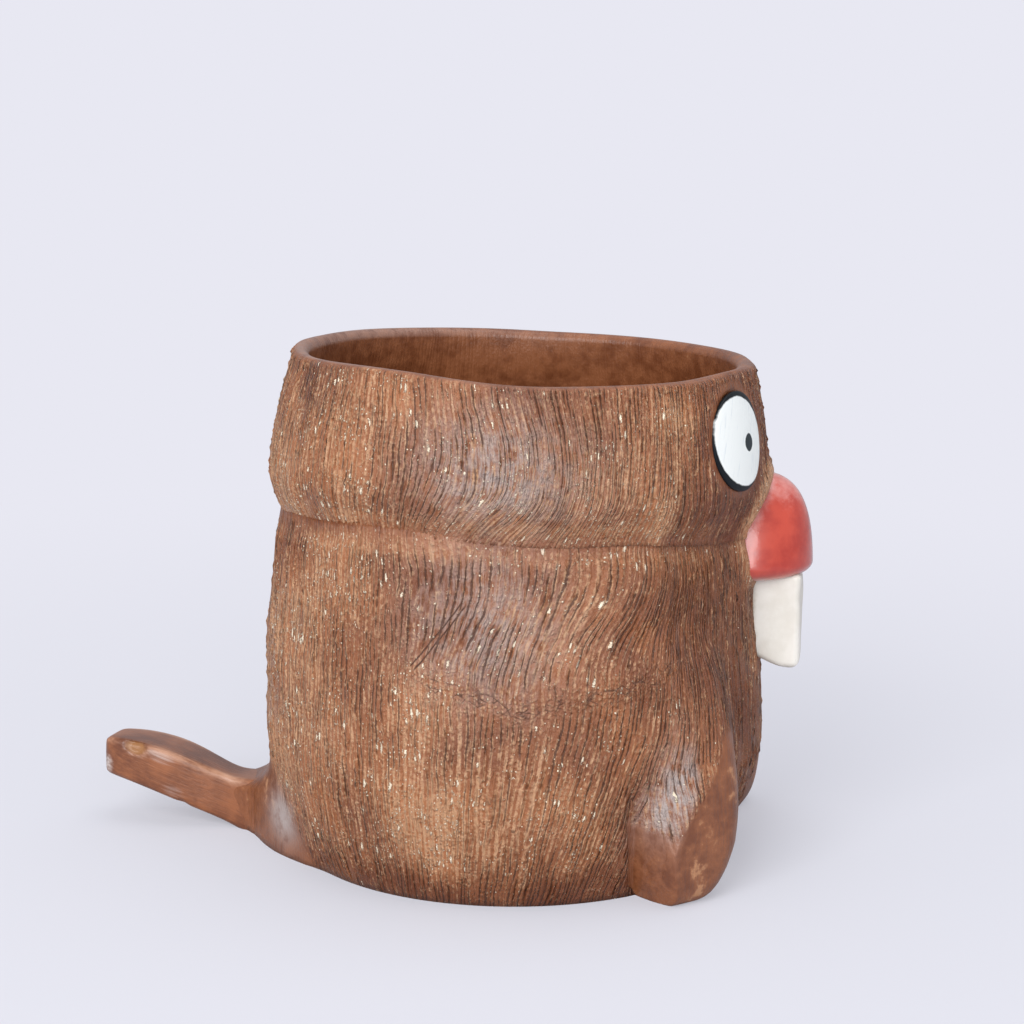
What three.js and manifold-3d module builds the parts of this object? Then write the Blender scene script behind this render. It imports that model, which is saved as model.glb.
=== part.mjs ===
// Hand-built ceramic planter in the shape of a plain animal with a paddle tail.
// Millimetres, +Z up, +X is the animal's front, origin on the table under the middle of the pot.
import * as THREE from 'three';
import { mergeVertices } from 'three/addons/utils/BufferGeometryUtils.js';
import Module from 'manifold-3d';

const DEGREE = Math.PI / 180;

// Film of slip between two pieces that are luted together.
const SLIP = 0.3;

// Pot body: one thrown wall on a flat slab.
const WALL = 5.5;
const BELLY_RADIUS = 71.6;
const BELLY_HEIGHT = 40;
const BASE_INSET = 8.1;
const BASE_RADIUS = BELLY_RADIUS - BASE_INSET;
const NECK_INSET = 3.8;
const NECK_RADIUS = BELLY_RADIUS - NECK_INSET;
const NECK_HEIGHT = 97;
const FOOT_WIDTH = 6;
const SLAB_RADIUS = BASE_RADIUS - FOOT_WIDTH;
const SLAB_THICK = 8;
const DRAIN_COUNT = 3;
const DRAIN_RADIUS = 4.5;
const DRAIN_RING = 24;

// Head band: a ring set on the neck, nodding a little to the front.
const HEAD_NOD = 2.2 * DEGREE;
const HEAD_FORWARD = 0.8;
const CHEEK_INSET = 0.4;
const CHEEK_RADIUS = BELLY_RADIUS - CHEEK_INSET;
const CHEEK_RISE = 13;
const RIM_INSET = 5.8;
const RIM_RADIUS = BELLY_RADIUS - RIM_INSET;
const RIM_RISE = 45;
const LIP = 5.2;

// Eyes: flat oval discs let into the head band.
const EYE_WIDTH = 27;
const EYE_HEIGHT = 27.4;
const EYE_ANGLE = 23.4 * DEGREE;
const EYE_RISE = 28;
const EYE_LEAN = 9.5 * DEGREE;
const EYE_DOME = 0.9;
const EYE_SUNK = 2.4;

// Nose: a full dome with a flat underside, across the neck groove.
const NOSE_WIDTH = 32;
const NOSE_RELIEF = 14;
const NOSE_REACH = BELLY_RADIUS + NOSE_RELIEF;
const NOSE_DROP = 17.5;
const NOSE_BASE = NECK_HEIGHT - NOSE_DROP;
const NOSE_SWELL = 5;
const NOSE_FULL = NOSE_BASE + NOSE_SWELL;
const NOSE_RISE = 13;
const NOSE_TOP = NECK_HEIGHT + NOSE_RISE;

// Two front teeth under the nose.
const TOOTH_WIDTH = 8.6;
const TOOTH_RELIEF = 10.2;
const TOOTH_REACH = BELLY_RADIUS + TOOTH_RELIEF;
const TOOTH_LENGTH = 25;
const TOOTH_TIP = NOSE_BASE - TOOTH_LENGTH;
const TOOTH_BEVEL = 5;
const TOOTH_EDGE = 0.8;

// Forelegs: low relief that swells into a paw on the table.
const LEG_WIDTH = 35;
const LEG_TOP = 71;
const LEG_RELIEF = 10.4;
const LEG_REACH = BELLY_RADIUS + LEG_RELIEF;
const LEG_DEPTH = 18;
const LEG_ROOT = LEG_REACH - LEG_DEPTH;
const PAW_HEIGHT = 18;
const RIGHT_LEG_ANGLE = -40 * DEGREE;
const LEFT_LEG_ANGLE = 37 * DEGREE;

// Tail: a thick paddle that rises off the table behind the pot.
const TAIL_LENGTH = 51.4;
const TAIL_REACH = BELLY_RADIUS + TAIL_LENGTH;
const TAIL_ROOT_WIDTH = 42;
const TAIL_NECK_WIDTH = 15.4;
const TAIL_BLADE_WIDTH = 22;
const TAIL_TIP_WIDTH = 16;
const TAIL_NECK_BEHIND = 14.4;
const TAIL_NECK_RADIUS = BELLY_RADIUS + TAIL_NECK_BEHIND;
const TAIL_BLADE_BEHIND = 32.4;
const TAIL_BLADE_RADIUS = BELLY_RADIUS + TAIL_BLADE_BEHIND;
const TAIL_THICK = 14.6;
const TAIL_SLOPE = Math.tan(23.5 * DEGREE);
const TAIL_ROLL = 5.4;
const TAIL_MIDDLE_BEHIND = 25.9;
const TAIL_MIDDLE = BELLY_RADIUS + TAIL_MIDDLE_BEHIND;
const TAIL_MIDDLE_HEIGHT = 13.1;
const TAIL_DROOP = 0.0072;
const TAIL_TAPER = 0.0055;

// Roundness of the turned pieces.
const TURN_STEPS = 60;
const DRAIN_STEPS = 16;
const EYE_STEPS = 36;
const HUGE = 400;

const wasm = await Module();
wasm.setup();

function bare(geometry) {
  const copy = geometry.clone();
  copy.deleteAttribute('normal');
  copy.deleteAttribute('uv');
  return mergeVertices(copy, 1e-4);
}

function solid(geometry) {
  const merged = bare(geometry);
  return new wasm.Manifold(new wasm.Mesh({
    numProp: 3,
    vertProperties: new Float32Array(merged.getAttribute('position').array),
    triVerts: new Uint32Array(merged.getIndex().array),
  }));
}

function surface(manifold) {
  const mesh = manifold.getMesh();
  const geometry = new THREE.BufferGeometry();
  geometry.setAttribute('position', new THREE.BufferAttribute(new Float32Array(mesh.vertProperties), 3));
  geometry.setIndex(new THREE.BufferAttribute(new Uint32Array(mesh.triVerts), 1));
  return mergeVertices(geometry, 1e-3);
}

function smoothLine(points, steps) {
  return new THREE.SplineCurve(points.map(([r, z]) => new THREE.Vector2(r, z))).getPoints(steps);
}

// Turns a list of (radius, height) points about +Z.
function turned(profile) {
  return new THREE.LatheGeometry(profile, TURN_STEPS).rotateX(Math.PI / 2);
}

function moveVertices(geometry, move) {
  const position = geometry.getAttribute('position');
  const point = new THREE.Vector3();
  for (let i = 0; i < position.count; i += 1) {
    point.fromBufferAttribute(position, i);
    move(point);
    position.setXYZ(i, point.x, point.y, point.z);
  }
  return geometry;
}

// The wall settles toward the front so that its top lies in the nodding plane of the head.
function settle(geometry) {
  return moveVertices(geometry, (point) => {
    point.z -= point.x * Math.tan(HEAD_NOD) * (point.z / NECK_HEIGHT);
  });
}

const headPlace = new THREE.Matrix4()
  .makeRotationY(HEAD_NOD)
  .setPosition(HEAD_FORWARD, 0, NECK_HEIGHT - HEAD_FORWARD * Math.tan(HEAD_NOD));

// Goes from one value to another by a share of the way.
function between(low, high, share) {
  return low + (high - low) * share;
}

// Outer lines of the body and of the head, from the bottom up. Each number is a share of the swell
// from the base or the neck to the belly or the cheek.
const bodyOuter = smoothLine([
  [BASE_RADIUS, 0],
  [between(BASE_RADIUS, BELLY_RADIUS, 0.173), BELLY_HEIGHT * 0.0875],
  [between(BASE_RADIUS, BELLY_RADIUS, 0.383), BELLY_HEIGHT * 0.225],
  [between(BASE_RADIUS, BELLY_RADIUS, 0.654), BELLY_HEIGHT * 0.425],
  [between(BASE_RADIUS, BELLY_RADIUS, 0.926), BELLY_HEIGHT * 0.725],
  [BELLY_RADIUS, BELLY_HEIGHT],
  [between(NECK_RADIUS, BELLY_RADIUS, 0.842), between(BELLY_HEIGHT, NECK_HEIGHT, 0.281)],
  [between(NECK_RADIUS, BELLY_RADIUS, 0.553), between(BELLY_HEIGHT, NECK_HEIGHT, 0.526)],
  [between(NECK_RADIUS, BELLY_RADIUS, 0.289), between(BELLY_HEIGHT, NECK_HEIGHT, 0.737)],
  [NECK_RADIUS, NECK_HEIGHT],
], 18);

const headOuter = smoothLine([
  [between(NECK_RADIUS, CHEEK_RADIUS, 0.06), SLIP],
  [between(NECK_RADIUS, CHEEK_RADIUS, 0.47), CHEEK_RISE * 0.215],
  [between(NECK_RADIUS, CHEEK_RADIUS, 0.824), CHEEK_RISE * 0.577],
  [CHEEK_RADIUS, CHEEK_RISE],
  [between(RIM_RADIUS, CHEEK_RADIUS, 0.796), between(CHEEK_RISE, RIM_RISE, 0.313)],
  [between(RIM_RADIUS, CHEEK_RADIUS, 0.444), between(CHEEK_RISE, RIM_RISE, 0.625)],
  [RIM_RADIUS, RIM_RISE - LIP / 2],
], 14);

const bodyInner = smoothLine([
  [NECK_RADIUS - WALL, NECK_HEIGHT],
  [between(NECK_RADIUS, BELLY_RADIUS, 0.553) - WALL, between(BELLY_HEIGHT, NECK_HEIGHT, 0.526)],
  [BELLY_RADIUS - WALL, BELLY_HEIGHT],
  [between(BASE_RADIUS, BELLY_RADIUS, 0.8) - WALL, between(SLAB_THICK, BELLY_HEIGHT, 0.4)],
  [SLAB_RADIUS + SLIP, SLAB_THICK],
], 10);

const headInner = smoothLine([
  [RIM_RADIUS - LIP, RIM_RISE - LIP / 2],
  [between(RIM_RADIUS, CHEEK_RADIUS, 0.6) - WALL, between(CHEEK_RISE, RIM_RISE, 0.44)],
  [CHEEK_RADIUS - WALL, CHEEK_RISE],
  [NECK_RADIUS - WALL, SLIP],
], 9);

const lip = [150, 120, 90, 60, 30].reverse().map((turn) => new THREE.Vector2(
  RIM_RADIUS - LIP / 2 + Math.cos(turn * DEGREE) * LIP / 2,
  RIM_RISE - LIP / 2 + Math.sin(turn * DEGREE) * LIP / 2,
));

const bodyFoot = [new THREE.Vector2(SLAB_RADIUS + SLIP, 0), new THREE.Vector2(BASE_RADIUS, 0)];
const headFoot = [headOuter[0].clone()];

const bodyWall = settle(turned([...bodyOuter, ...bodyInner, ...bodyFoot]));
const headRing = turned([...headOuter, ...lip, ...headInner, ...headFoot]);

// Full blanks of the body and the head, one slip film larger, that the added pieces are cut to fit.
function blank(outer, below, above) {
  const wide = outer.map((point) => new THREE.Vector2(point.x + SLIP, point.y));
  const first = new THREE.Vector2(0, outer[0].y - below);
  const start = new THREE.Vector2(wide[0].x, outer[0].y - below);
  const last = new THREE.Vector2(0, outer[outer.length - 1].y + above);
  return turned([first, ...(below > 0 ? [start] : []), ...wide, last]);
}

const bodyBlank = solid(settle(blank(bodyOuter, 2, 0)));
const headBlank = solid(blank(headOuter, 1, 2).applyMatrix4(headPlace));
const potBlank = bodyBlank.add(headBlank);

function aboveTable(manifold) {
  const room = new THREE.BoxGeometry(HUGE, HUGE, HUGE).translate(0, 0, HUGE / 2);
  return manifold.intersect(solid(room));
}

function circle(x, y, radius, steps) {
  const points = [];
  for (let i = 0; i < steps; i += 1) {
    const turn = (i / steps) * Math.PI * 2;
    points.push(new THREE.Vector2(x + Math.cos(turn) * radius, y + Math.sin(turn) * radius));
  }
  return points;
}

function baseSlab() {
  const outline = new THREE.Shape(circle(0, 0, SLAB_RADIUS, TURN_STEPS));
  for (let i = 0; i < DRAIN_COUNT; i += 1) {
    const turn = (i / DRAIN_COUNT) * Math.PI * 2;
    const x = Math.cos(turn) * DRAIN_RING;
    const y = Math.sin(turn) * DRAIN_RING;
    outline.holes.push(new THREE.Path(circle(x, y, DRAIN_RADIUS, DRAIN_STEPS).reverse()));
  }
  return new THREE.ExtrudeGeometry(outline, { depth: SLAB_THICK, bevelEnabled: false });
}

// Radius of the head's outer line at a height above the neck.
function headRadius(rise) {
  const next = headOuter.findIndex((point) => point.y >= rise);
  const low = headOuter[next - 1];
  const high = headOuter[next];
  return low.x + ((high.x - low.x) * (rise - low.y)) / (high.y - low.y);
}

// Where an eye sits in the head: local x runs across the face, local y up, local z outward.
function eyePlace(side) {
  const turn = side * EYE_ANGLE;
  const radius = headRadius(EYE_RISE);
  const level = Math.cos(EYE_LEAN);
  const outward = new THREE.Vector3(Math.cos(turn) * level, Math.sin(turn) * level, Math.sin(EYE_LEAN));
  const across = new THREE.Vector3(-Math.sin(turn), Math.cos(turn), 0);
  const up = new THREE.Vector3().crossVectors(outward, across);
  return new THREE.Matrix4()
    .makeBasis(across, up, outward)
    .setPosition(Math.cos(turn) * radius, Math.sin(turn) * radius, EYE_RISE);
}

function eyeDisc(side, play) {
  const half = EYE_HEIGHT / 2 + play;
  const profile = [
    new THREE.Vector2(0, -EYE_SUNK - play),
    new THREE.Vector2(half, -EYE_SUNK - play),
    new THREE.Vector2(half, 0.2),
    new THREE.Vector2(half - 0.7, 0.6),
    new THREE.Vector2(half * 0.6, EYE_DOME),
    new THREE.Vector2(0, EYE_DOME + 0.3),
  ];
  const disc = new THREE.LatheGeometry(profile, EYE_STEPS).rotateX(Math.PI / 2);
  disc.scale((EYE_WIDTH / 2 + play) / half, 1, 1);
  return disc.applyMatrix4(eyePlace(side));
}

// The socket is the disc with one slip film of play, open to the outside.
function eyeSocket(side) {
  const radius = EYE_HEIGHT / 2 + SLIP;
  const depth = EYE_SUNK + SLIP;
  const open = new THREE.CylinderGeometry(radius, radius, depth + WALL, EYE_STEPS);
  open.rotateX(Math.PI / 2).translate(0, 0, (WALL - depth) / 2);
  open.scale((EYE_WIDTH / 2 + SLIP) / radius, 1, 1);
  return open.applyMatrix4(eyePlace(side));
}

const headBand = surface(solid(headRing).subtract(solid(eyeSocket(-1))).subtract(solid(eyeSocket(1))));

function power(value, exponent) {
  return Math.sign(value) * Math.abs(value) ** exponent;
}

function nose() {
  const blob = moveVertices(new THREE.SphereGeometry(1, 28, 20).rotateX(Math.PI / 2), (point) => {
    const ring = Math.hypot(point.x, point.y) || 1;
    const rising = point.z > 0;
    const girth = power(ring, rising ? 0.55 : 0.45);
    const narrow = rising ? 1 - 0.5 * power(point.z, 0.9) : 1;
    const depth = NOSE_REACH - NECK_RADIUS + 4;
    point.x = NECK_RADIUS - 4 + (point.x / ring) * girth * depth;
    point.y = (point.y / ring) * girth * narrow * NOSE_WIDTH / 2;
    const above = power(point.z, 0.85) * (NOSE_TOP - NOSE_FULL);
    const below = point.z * (NOSE_FULL - NOSE_BASE);
    point.z = NOSE_FULL + (rising ? above : below);
  });
  return surface(solid(blob).subtract(potBlank));
}

function incisor(side) {
  const top = NOSE_BASE - SLIP;
  const outline = new THREE.Shape();
  outline.moveTo(NECK_RADIUS - 4, top);
  outline.lineTo(NECK_RADIUS - 4, TOOTH_TIP + TOOTH_BEVEL + 1);
  outline.lineTo(TOOTH_REACH - 4, TOOTH_TIP);
  outline.quadraticCurveTo(TOOTH_REACH - 0.4, TOOTH_TIP - 0.4, TOOTH_REACH, TOOTH_TIP + 4);
  outline.lineTo(TOOTH_REACH, top);
  outline.closePath();
  const block = new THREE.ExtrudeGeometry(outline, {
    depth: TOOTH_WIDTH - 2 * TOOTH_EDGE,
    bevelThickness: TOOTH_EDGE,
    bevelSize: TOOTH_EDGE,
    bevelOffset: -TOOTH_EDGE,
    bevelSegments: 2,
    curveSegments: 5,
  });
  const left = TOOTH_WIDTH - TOOTH_EDGE + SLIP / 2;
  const right = -TOOTH_EDGE - SLIP / 2;
  block.rotateX(Math.PI / 2).translate(0, side > 0 ? left : right, 0);
  return surface(solid(block).subtract(potBlank));
}

function foreleg(turn) {
  const blob = moveVertices(new THREE.SphereGeometry(1, 28, 20).rotateX(Math.PI / 2), (point) => {
    const rising = point.z > 0;
    const slim = rising ? 1 + 0.06 * point.z : 1;
    point.x = LEG_ROOT + point.x * slim * (LEG_REACH - LEG_ROOT);
    point.y = point.y * slim * LEG_WIDTH / 2;
    point.z = PAW_HEIGHT + point.z * (rising ? LEG_TOP - PAW_HEIGHT : PAW_HEIGHT + 6);
  });
  return surface(aboveTable(solid(blob.rotateZ(turn)).subtract(potBlank)));
}

// Height of the middle of the tail at a distance behind the pot's axis.
function tailHeight(radius) {
  const beyond = Math.max(0, radius - TAIL_MIDDLE);
  return TAIL_MIDDLE_HEIGHT + (radius - TAIL_MIDDLE) * TAIL_SLOPE - TAIL_DROOP * beyond * beyond;
}

function tail() {
  const start = SLAB_RADIUS;
  const top = [];
  const under = [];
  for (let i = 0; i <= 10; i += 1) {
    const radius = start + ((TAIL_REACH + 1 - start) * i) / 10;
    const half = (TAIL_THICK - TAIL_TAPER * Math.max(0, radius - TAIL_MIDDLE) ** 2) / 2;
    top.push(new THREE.Vector2(radius, tailHeight(radius) + half));
    under.push(new THREE.Vector2(radius, tailHeight(radius) - half));
  }
  const side = new THREE.ExtrudeGeometry(new THREE.Shape([...under, ...top.reverse()]), {
    depth: 2 * TAIL_ROOT_WIDTH,
    bevelEnabled: false,
  });
  side.rotateX(Math.PI / 2).translate(0, TAIL_ROOT_WIDTH, 0);
  const edge = smoothLine([
    [start, TAIL_ROOT_WIDTH / 2 + 3],
    [BELLY_RADIUS - 1, TAIL_ROOT_WIDTH / 2 - 1],
    [BELLY_RADIUS + 6, TAIL_NECK_WIDTH / 2 + 3],
    [TAIL_NECK_RADIUS, TAIL_NECK_WIDTH / 2],
    [TAIL_BLADE_RADIUS - 8, TAIL_BLADE_WIDTH / 2 - 1],
    [TAIL_BLADE_RADIUS, TAIL_BLADE_WIDTH / 2],
    [TAIL_BLADE_RADIUS + 9, TAIL_BLADE_WIDTH / 2 - 1],
    [TAIL_REACH - 2, TAIL_TIP_WIDTH / 2],
    [TAIL_REACH, TAIL_TIP_WIDTH / 2 - 3],
    [TAIL_REACH + 0.3, 0],
  ], 22);
  const far = edge.slice(0, -1).map((point) => new THREE.Vector2(point.x, -point.y));
  const plan = new THREE.ExtrudeGeometry(new THREE.Shape([...far, ...edge.reverse()]), {
    depth: HUGE,
    bevelEnabled: false,
  });
  plan.translate(0, 0, -HUGE / 2);
  const level = solid(side).intersect(solid(plan)).translate([0, 0, -TAIL_MIDDLE_HEIGHT]);
  const paddle = level.rotate([TAIL_ROLL, 0, 0]).translate([0, 0, TAIL_MIDDLE_HEIGHT]).rotate([0, 0, 180]);
  return surface(aboveTable(paddle.subtract(potBlank)));
}

function material(colour, roughness) {
  return new THREE.MeshStandardMaterial({ color: colour, roughness, metalness: 0 });
}

const FUR_BROWN = 0x8f6249;
const SMOOTH_BROWN = 0x8a5a44;
const NOSE_RED = 0xb8402f;
const TOOTH_CREAM = 0xeae5da;
const EYE_WHITE = 0xf2f4f2;
const BARE_CLAY = 0xcdb8a0;

const part = new THREE.Group();
part.name = 'ceramic_planter';

const head = new THREE.Group();
head.name = 'head';
head.applyMatrix4(headPlace);
part.add(head);

function piece(parent, name, geometry, colour, roughness) {
  const mesh = new THREE.Mesh(bare(geometry), material(colour, roughness));
  mesh.geometry.computeVertexNormals();
  mesh.name = name;
  parent.add(mesh);
}

piece(part, 'base_slab', baseSlab(), BARE_CLAY, 0.8);
piece(part, 'body_wall', bodyWall, FUR_BROWN, 0.5);
piece(head, 'head_band', headBand, FUR_BROWN, 0.5);
piece(part, 'tail', tail(), SMOOTH_BROWN, 0.4);
piece(part, 'right_foreleg', foreleg(RIGHT_LEG_ANGLE), FUR_BROWN, 0.5);
piece(part, 'left_foreleg', foreleg(LEFT_LEG_ANGLE), FUR_BROWN, 0.5);
piece(part, 'nose', nose(), NOSE_RED, 0.25);
piece(part, 'right_incisor', incisor(-1), TOOTH_CREAM, 0.35);
piece(part, 'left_incisor', incisor(1), TOOTH_CREAM, 0.35);
piece(head, 'right_eye', eyeDisc(-1, 0), EYE_WHITE, 0.25);
piece(head, 'left_eye', eyeDisc(1, 0), EYE_WHITE, 0.25);

export default part;
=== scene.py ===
import math

import bmesh
import bpy
import numpy as np
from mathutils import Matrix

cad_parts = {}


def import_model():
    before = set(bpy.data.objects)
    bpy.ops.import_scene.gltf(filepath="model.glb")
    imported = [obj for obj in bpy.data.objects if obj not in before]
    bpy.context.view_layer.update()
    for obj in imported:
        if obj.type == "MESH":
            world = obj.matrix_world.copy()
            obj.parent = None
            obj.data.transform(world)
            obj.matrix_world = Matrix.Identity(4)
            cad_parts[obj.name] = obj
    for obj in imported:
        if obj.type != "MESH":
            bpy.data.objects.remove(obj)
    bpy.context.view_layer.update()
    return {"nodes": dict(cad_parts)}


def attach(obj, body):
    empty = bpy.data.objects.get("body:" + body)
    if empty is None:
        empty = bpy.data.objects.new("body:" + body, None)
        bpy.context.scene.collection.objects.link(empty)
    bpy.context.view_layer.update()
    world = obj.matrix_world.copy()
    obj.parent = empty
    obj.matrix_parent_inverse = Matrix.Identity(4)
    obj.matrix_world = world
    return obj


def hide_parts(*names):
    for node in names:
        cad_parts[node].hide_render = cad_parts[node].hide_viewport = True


# Looks of a hand-built ceramic planter in the shape of a plain animal.
# Sizes are in millimetres until a mesh is filled. +X is the animal's front, +Z is up.
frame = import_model()

MM = 0.001
COLUMNS = 1800
WALL_MAP = "OFBake"
SHEET = 500

# Pot body and head band, as in the solids.
BODY_LINE = [(63.5, 0), (64.9, 3.5), (66.6, 9), (68.8, 17), (71.0, 29), (71.6, 40), (71.0, 56),
             (69.9, 70), (68.9, 82), (67.8, 97)]
BODY_INSIDE = [(62.3, 97), (64.4, 70), (66.1, 40), (64.5, 21), (57.8, 8)]
HEAD_LINE = [(67, -0.4), (67.05, 0.7), (67.5, 2.3), (68.8, 4.8), (70.3, 8.4), (71.1, 13), (70.1, 23), (68.2, 33),
             (65.8, 42.4)]
LIP_LINE = [(65.7, 43.3), (65.4, 44.1), (64.8, 44.7), (63.8, 45), (62.5, 44.9), (61.4, 44.3), (60.8, 43.3)]
HEAD_INSIDE = [(60.6, 42.4), (63.5, 27), (65.7, 13), (62.3, 0.3)]
NECK_HEIGHT = 97
RIM_RISE = 45
HEAD_NOD = math.radians(2.2)
HEAD_FORWARD = 0.8

# Eyes, nose, teeth, forelegs and tail.
EYE_ANGLE = 23.4
EYE_RISE = 27.6
EYE_HALF = (13.5, 13.7)
EYE_LEAN = math.radians(9.5)
NOSE_WIDTH = 33.6
NOSE_BASE = 79.5
NOSE_FULL = 84.5
NOSE_TOP = 110
NOSE_REACH = 85.6
NOSE_ROOT = 63.8
LEG_ANGLES = {"right_foreleg": -40, "left_foreleg": 37}
PAW_TAPER = {"right_foreleg": 1, "left_foreleg": 0.3}
LEG_TOP = 71
TOOTH_WIDTH = 8.6
TOOTH_SPLIT = 0.3
TOOTH_BACK = 66.5
TOOTH_REACH = 82.6
TOOTH_TIP = 54.5
TOOTH_TOP = 82
TAIL_STATIONS = [(60, 11), (66, 10.8), (72, 10.4), (77.8, 9.6), (82, 8.4), (86, 7.8), (91, 8.7), (97, 10.2),
                 (104, 11), (113, 10.2), (119.5, 8.9), (123, 7.2)]
TAIL_MIDDLE = 97.5
TAIL_MIDDLE_HEIGHT = 13.1
TAIL_SLOPE = math.tan(math.radians(23.5))
TAIL_ROLL = math.radians(5.4)


def colour(code):
    """Linear colour of an sRGB hex value."""
    parts = [int(code[i:i + 2], 16) / 255 for i in (0, 2, 4)]
    return [c / 12.92 if c < 0.04045 else ((c + 0.055) / 1.055) ** 2.4 for c in parts] + [1]


def add(tree, kind, settings, inputs):
    """Adds a node with its settings, sets or links its inputs, and gives its outputs."""
    node = tree.nodes.new("ShaderNode" + kind)
    for name, value in settings.items():
        setattr(node, name, value)
    for name, value in inputs.items():
        if isinstance(value, bpy.types.NodeSocket):
            tree.links.new(value, node.inputs[name])
        else:
            node.inputs[name].default_value = value
    return node.outputs


def ease(value, low, high):
    """Smooth step from 0 at low to 1 at high."""
    share = np.clip((value - low) / (high - low), 0, 1)
    return share * share * (3 - 2 * share)


def bell(value, middle, spread):
    return np.exp(-((value - middle) / spread) ** 2)


def smooth_line(points, steps):
    """Evenly numbered steps on a smooth line through the points."""
    points = np.array(points, float)
    ends = [2 * points[0] - points[1], 2 * points[-1] - points[-2]]
    held = np.vstack([ends[0], points, ends[1]])
    share = np.linspace(0, len(points) - 1 - 1e-9, steps)
    first = share.astype(int)
    t = (share - first)[:, None]
    a, b, c, d = (held[first + k] for k in range(4))
    return 0.5 * (2 * b + (c - a) * t + (2 * a - 5 * b + 4 * c - d) * t ** 2
                  + (3 * b - a - 3 * c + d) * t ** 3)


def radius_on(line, height):
    dense = smooth_line(line, 600)
    return np.interp(height, dense[:, 1], dense[:, 0])


def round_curve(points, angle):
    """Smooth closed curve of value by angle in degrees, through (angle, value) points."""
    points = sorted(points)
    grid = np.arange(-180, 180, 1.0)
    values = np.interp(grid, [p[0] for p in points], [p[1] for p in points], period=360)
    kernel = bell(np.arange(-15, 16), 0, 6)
    wrapped = np.concatenate([values[-15:], values, values[:15]])
    values = np.convolve(wrapped, kernel / kernel.sum(), "valid")
    return np.interp(angle, grid, values, period=360)


def lumps(rng, turn, height, size):
    """Slow unevenness left by the hands, closed round the pot. size is in millimetres."""
    total = np.zeros_like(turn + height)
    for _ in range(16):
        waves = rng.integers(2, 14)
        rise = rng.normal(0, 0.09)
        total += rng.normal() * np.cos(waves * turn + rise * height + rng.uniform(0, 6.3))
    return size * total / 4


def combing(rng, shape, column, row, passes, reach, press, gap):
    """Grooves and burrs, 0 to 1, of a tool drawn along the columns of a grid that closes round.

    column and row are the grid's steps in millimetres, reach the shortest and longest stroke, press
    the lightest and hardest, and gap the distance between the tool's teeth.
    """
    rows, columns = shape
    groove = np.zeros(shape)
    burr = np.zeros(shape)
    beside = np.arange(-6, 7)
    for _ in range(passes):
        first = rng.uniform(0, columns)
        long = rng.uniform(*reach) / row
        low = rng.uniform(-0.4 * long, rows - 0.6 * long)
        slant = rng.normal(0, 0.025) * row / column
        bow = rng.normal(0, 0.7)
        hard = rng.uniform(*press)
        for tooth in range(rng.integers(2, 6)):
            start = low + rng.normal(0, 2.0 / row)
            stop = start + long * rng.uniform(0.7, 1.15)
            line = np.arange(max(0, math.ceil(start)), min(rows - 1, math.floor(stop)) + 1)
            if len(line) < 3:
                continue
            share = (line - start) / (stop - start)
            ends = np.clip(np.minimum(share * 4, (1 - share) * 3), 0, 1)
            across = first + tooth * gap / column + rng.normal(0, 0.5)
            middle = across + slant * (line - start) + bow * np.sin(math.pi * share)
            near = np.floor(middle).astype(int)[:, None] + beside
            off = (near - middle[:, None]) * column
            width = rng.uniform(0.3, 0.48)
            depth = hard * rng.uniform(0.6, 1) * ends[:, None]
            spot = (line[:, None], near % columns)
            groove[spot] = np.maximum(groove[spot] * 0.92, depth * bell(off, 0, width))
            lean = rng.choice([-1, 1])
            burr[spot] = np.maximum(burr[spot], depth * bell(off, lean * 2.1 * width, width))
    return groove, burr * (1 - groove)


def wrapped_grid(name, spots, marks, closed_rows, column):
    """A grid wrapped round a form: spots are rows of points in millimetres, closed along a row.

    marks are named values per point, closed_rows joins the last row to the first, and column is the
    step along a row. The map runs along and across the rows, SHEET millimetres to its unit.
    """
    spots = np.concatenate([spots, spots[:, :1]], axis=1)
    marks = {key: np.concatenate([value, value[:, :1]], axis=1) for key, value in marks.items()}
    if closed_rows:
        spots = np.concatenate([spots, spots[:1]])
        marks = {key: np.concatenate([value, value[:1]]) for key, value in marks.items()}
    rows, columns = spots.shape[:2]
    bpy.ops.object.select_all(action="DESELECT")
    bpy.ops.mesh.primitive_grid_add(x_subdivisions=columns - 1, y_subdivisions=rows - 1, size=1)
    piece = bpy.context.object
    piece.name = piece.data.name = name
    mesh = piece.data
    mesh.vertices.foreach_set("co", (spots * MM).ravel())
    for key, value in marks.items():
        mesh.attributes.new(key, "FLOAT", "POINT").data.foreach_set("value", value.ravel())
    lengths = np.linalg.norm(np.diff(spots, axis=0), axis=2).mean(axis=1)
    up = np.concatenate([[0], np.cumsum(lengths)])
    sheet = np.stack(np.meshgrid(np.arange(columns) * column, up), axis=2) / SHEET
    corners = np.empty(len(mesh.loops), int)
    mesh.loops.foreach_get("vertex_index", corners)
    mesh.uv_layers[0].name = WALL_MAP
    mesh.uv_layers[0].data.foreach_set("uv", sheet.reshape(-1, 2)[corners].ravel())
    bpy.ops.object.mode_set(mode="EDIT")
    bpy.ops.mesh.select_all(action="SELECT")
    bpy.ops.mesh.remove_doubles(threshold=1e-6)
    bpy.ops.mesh.normals_make_consistent(inside=False)
    bpy.ops.object.mode_set(mode="OBJECT")
    bpy.ops.object.shade_smooth()
    return piece


def dress(piece, node, material):
    """Puts a piece in a node's place, with its finish."""
    piece.data.materials.clear()
    piece.data.materials.append(material)
    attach(piece, "root")
    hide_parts(node)


# Finishes

def finish_named(name):
    material = bpy.data.materials.new(name)
    material.use_nodes = True
    tree = material.node_tree
    tree.nodes.clear()
    return material, tree


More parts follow.
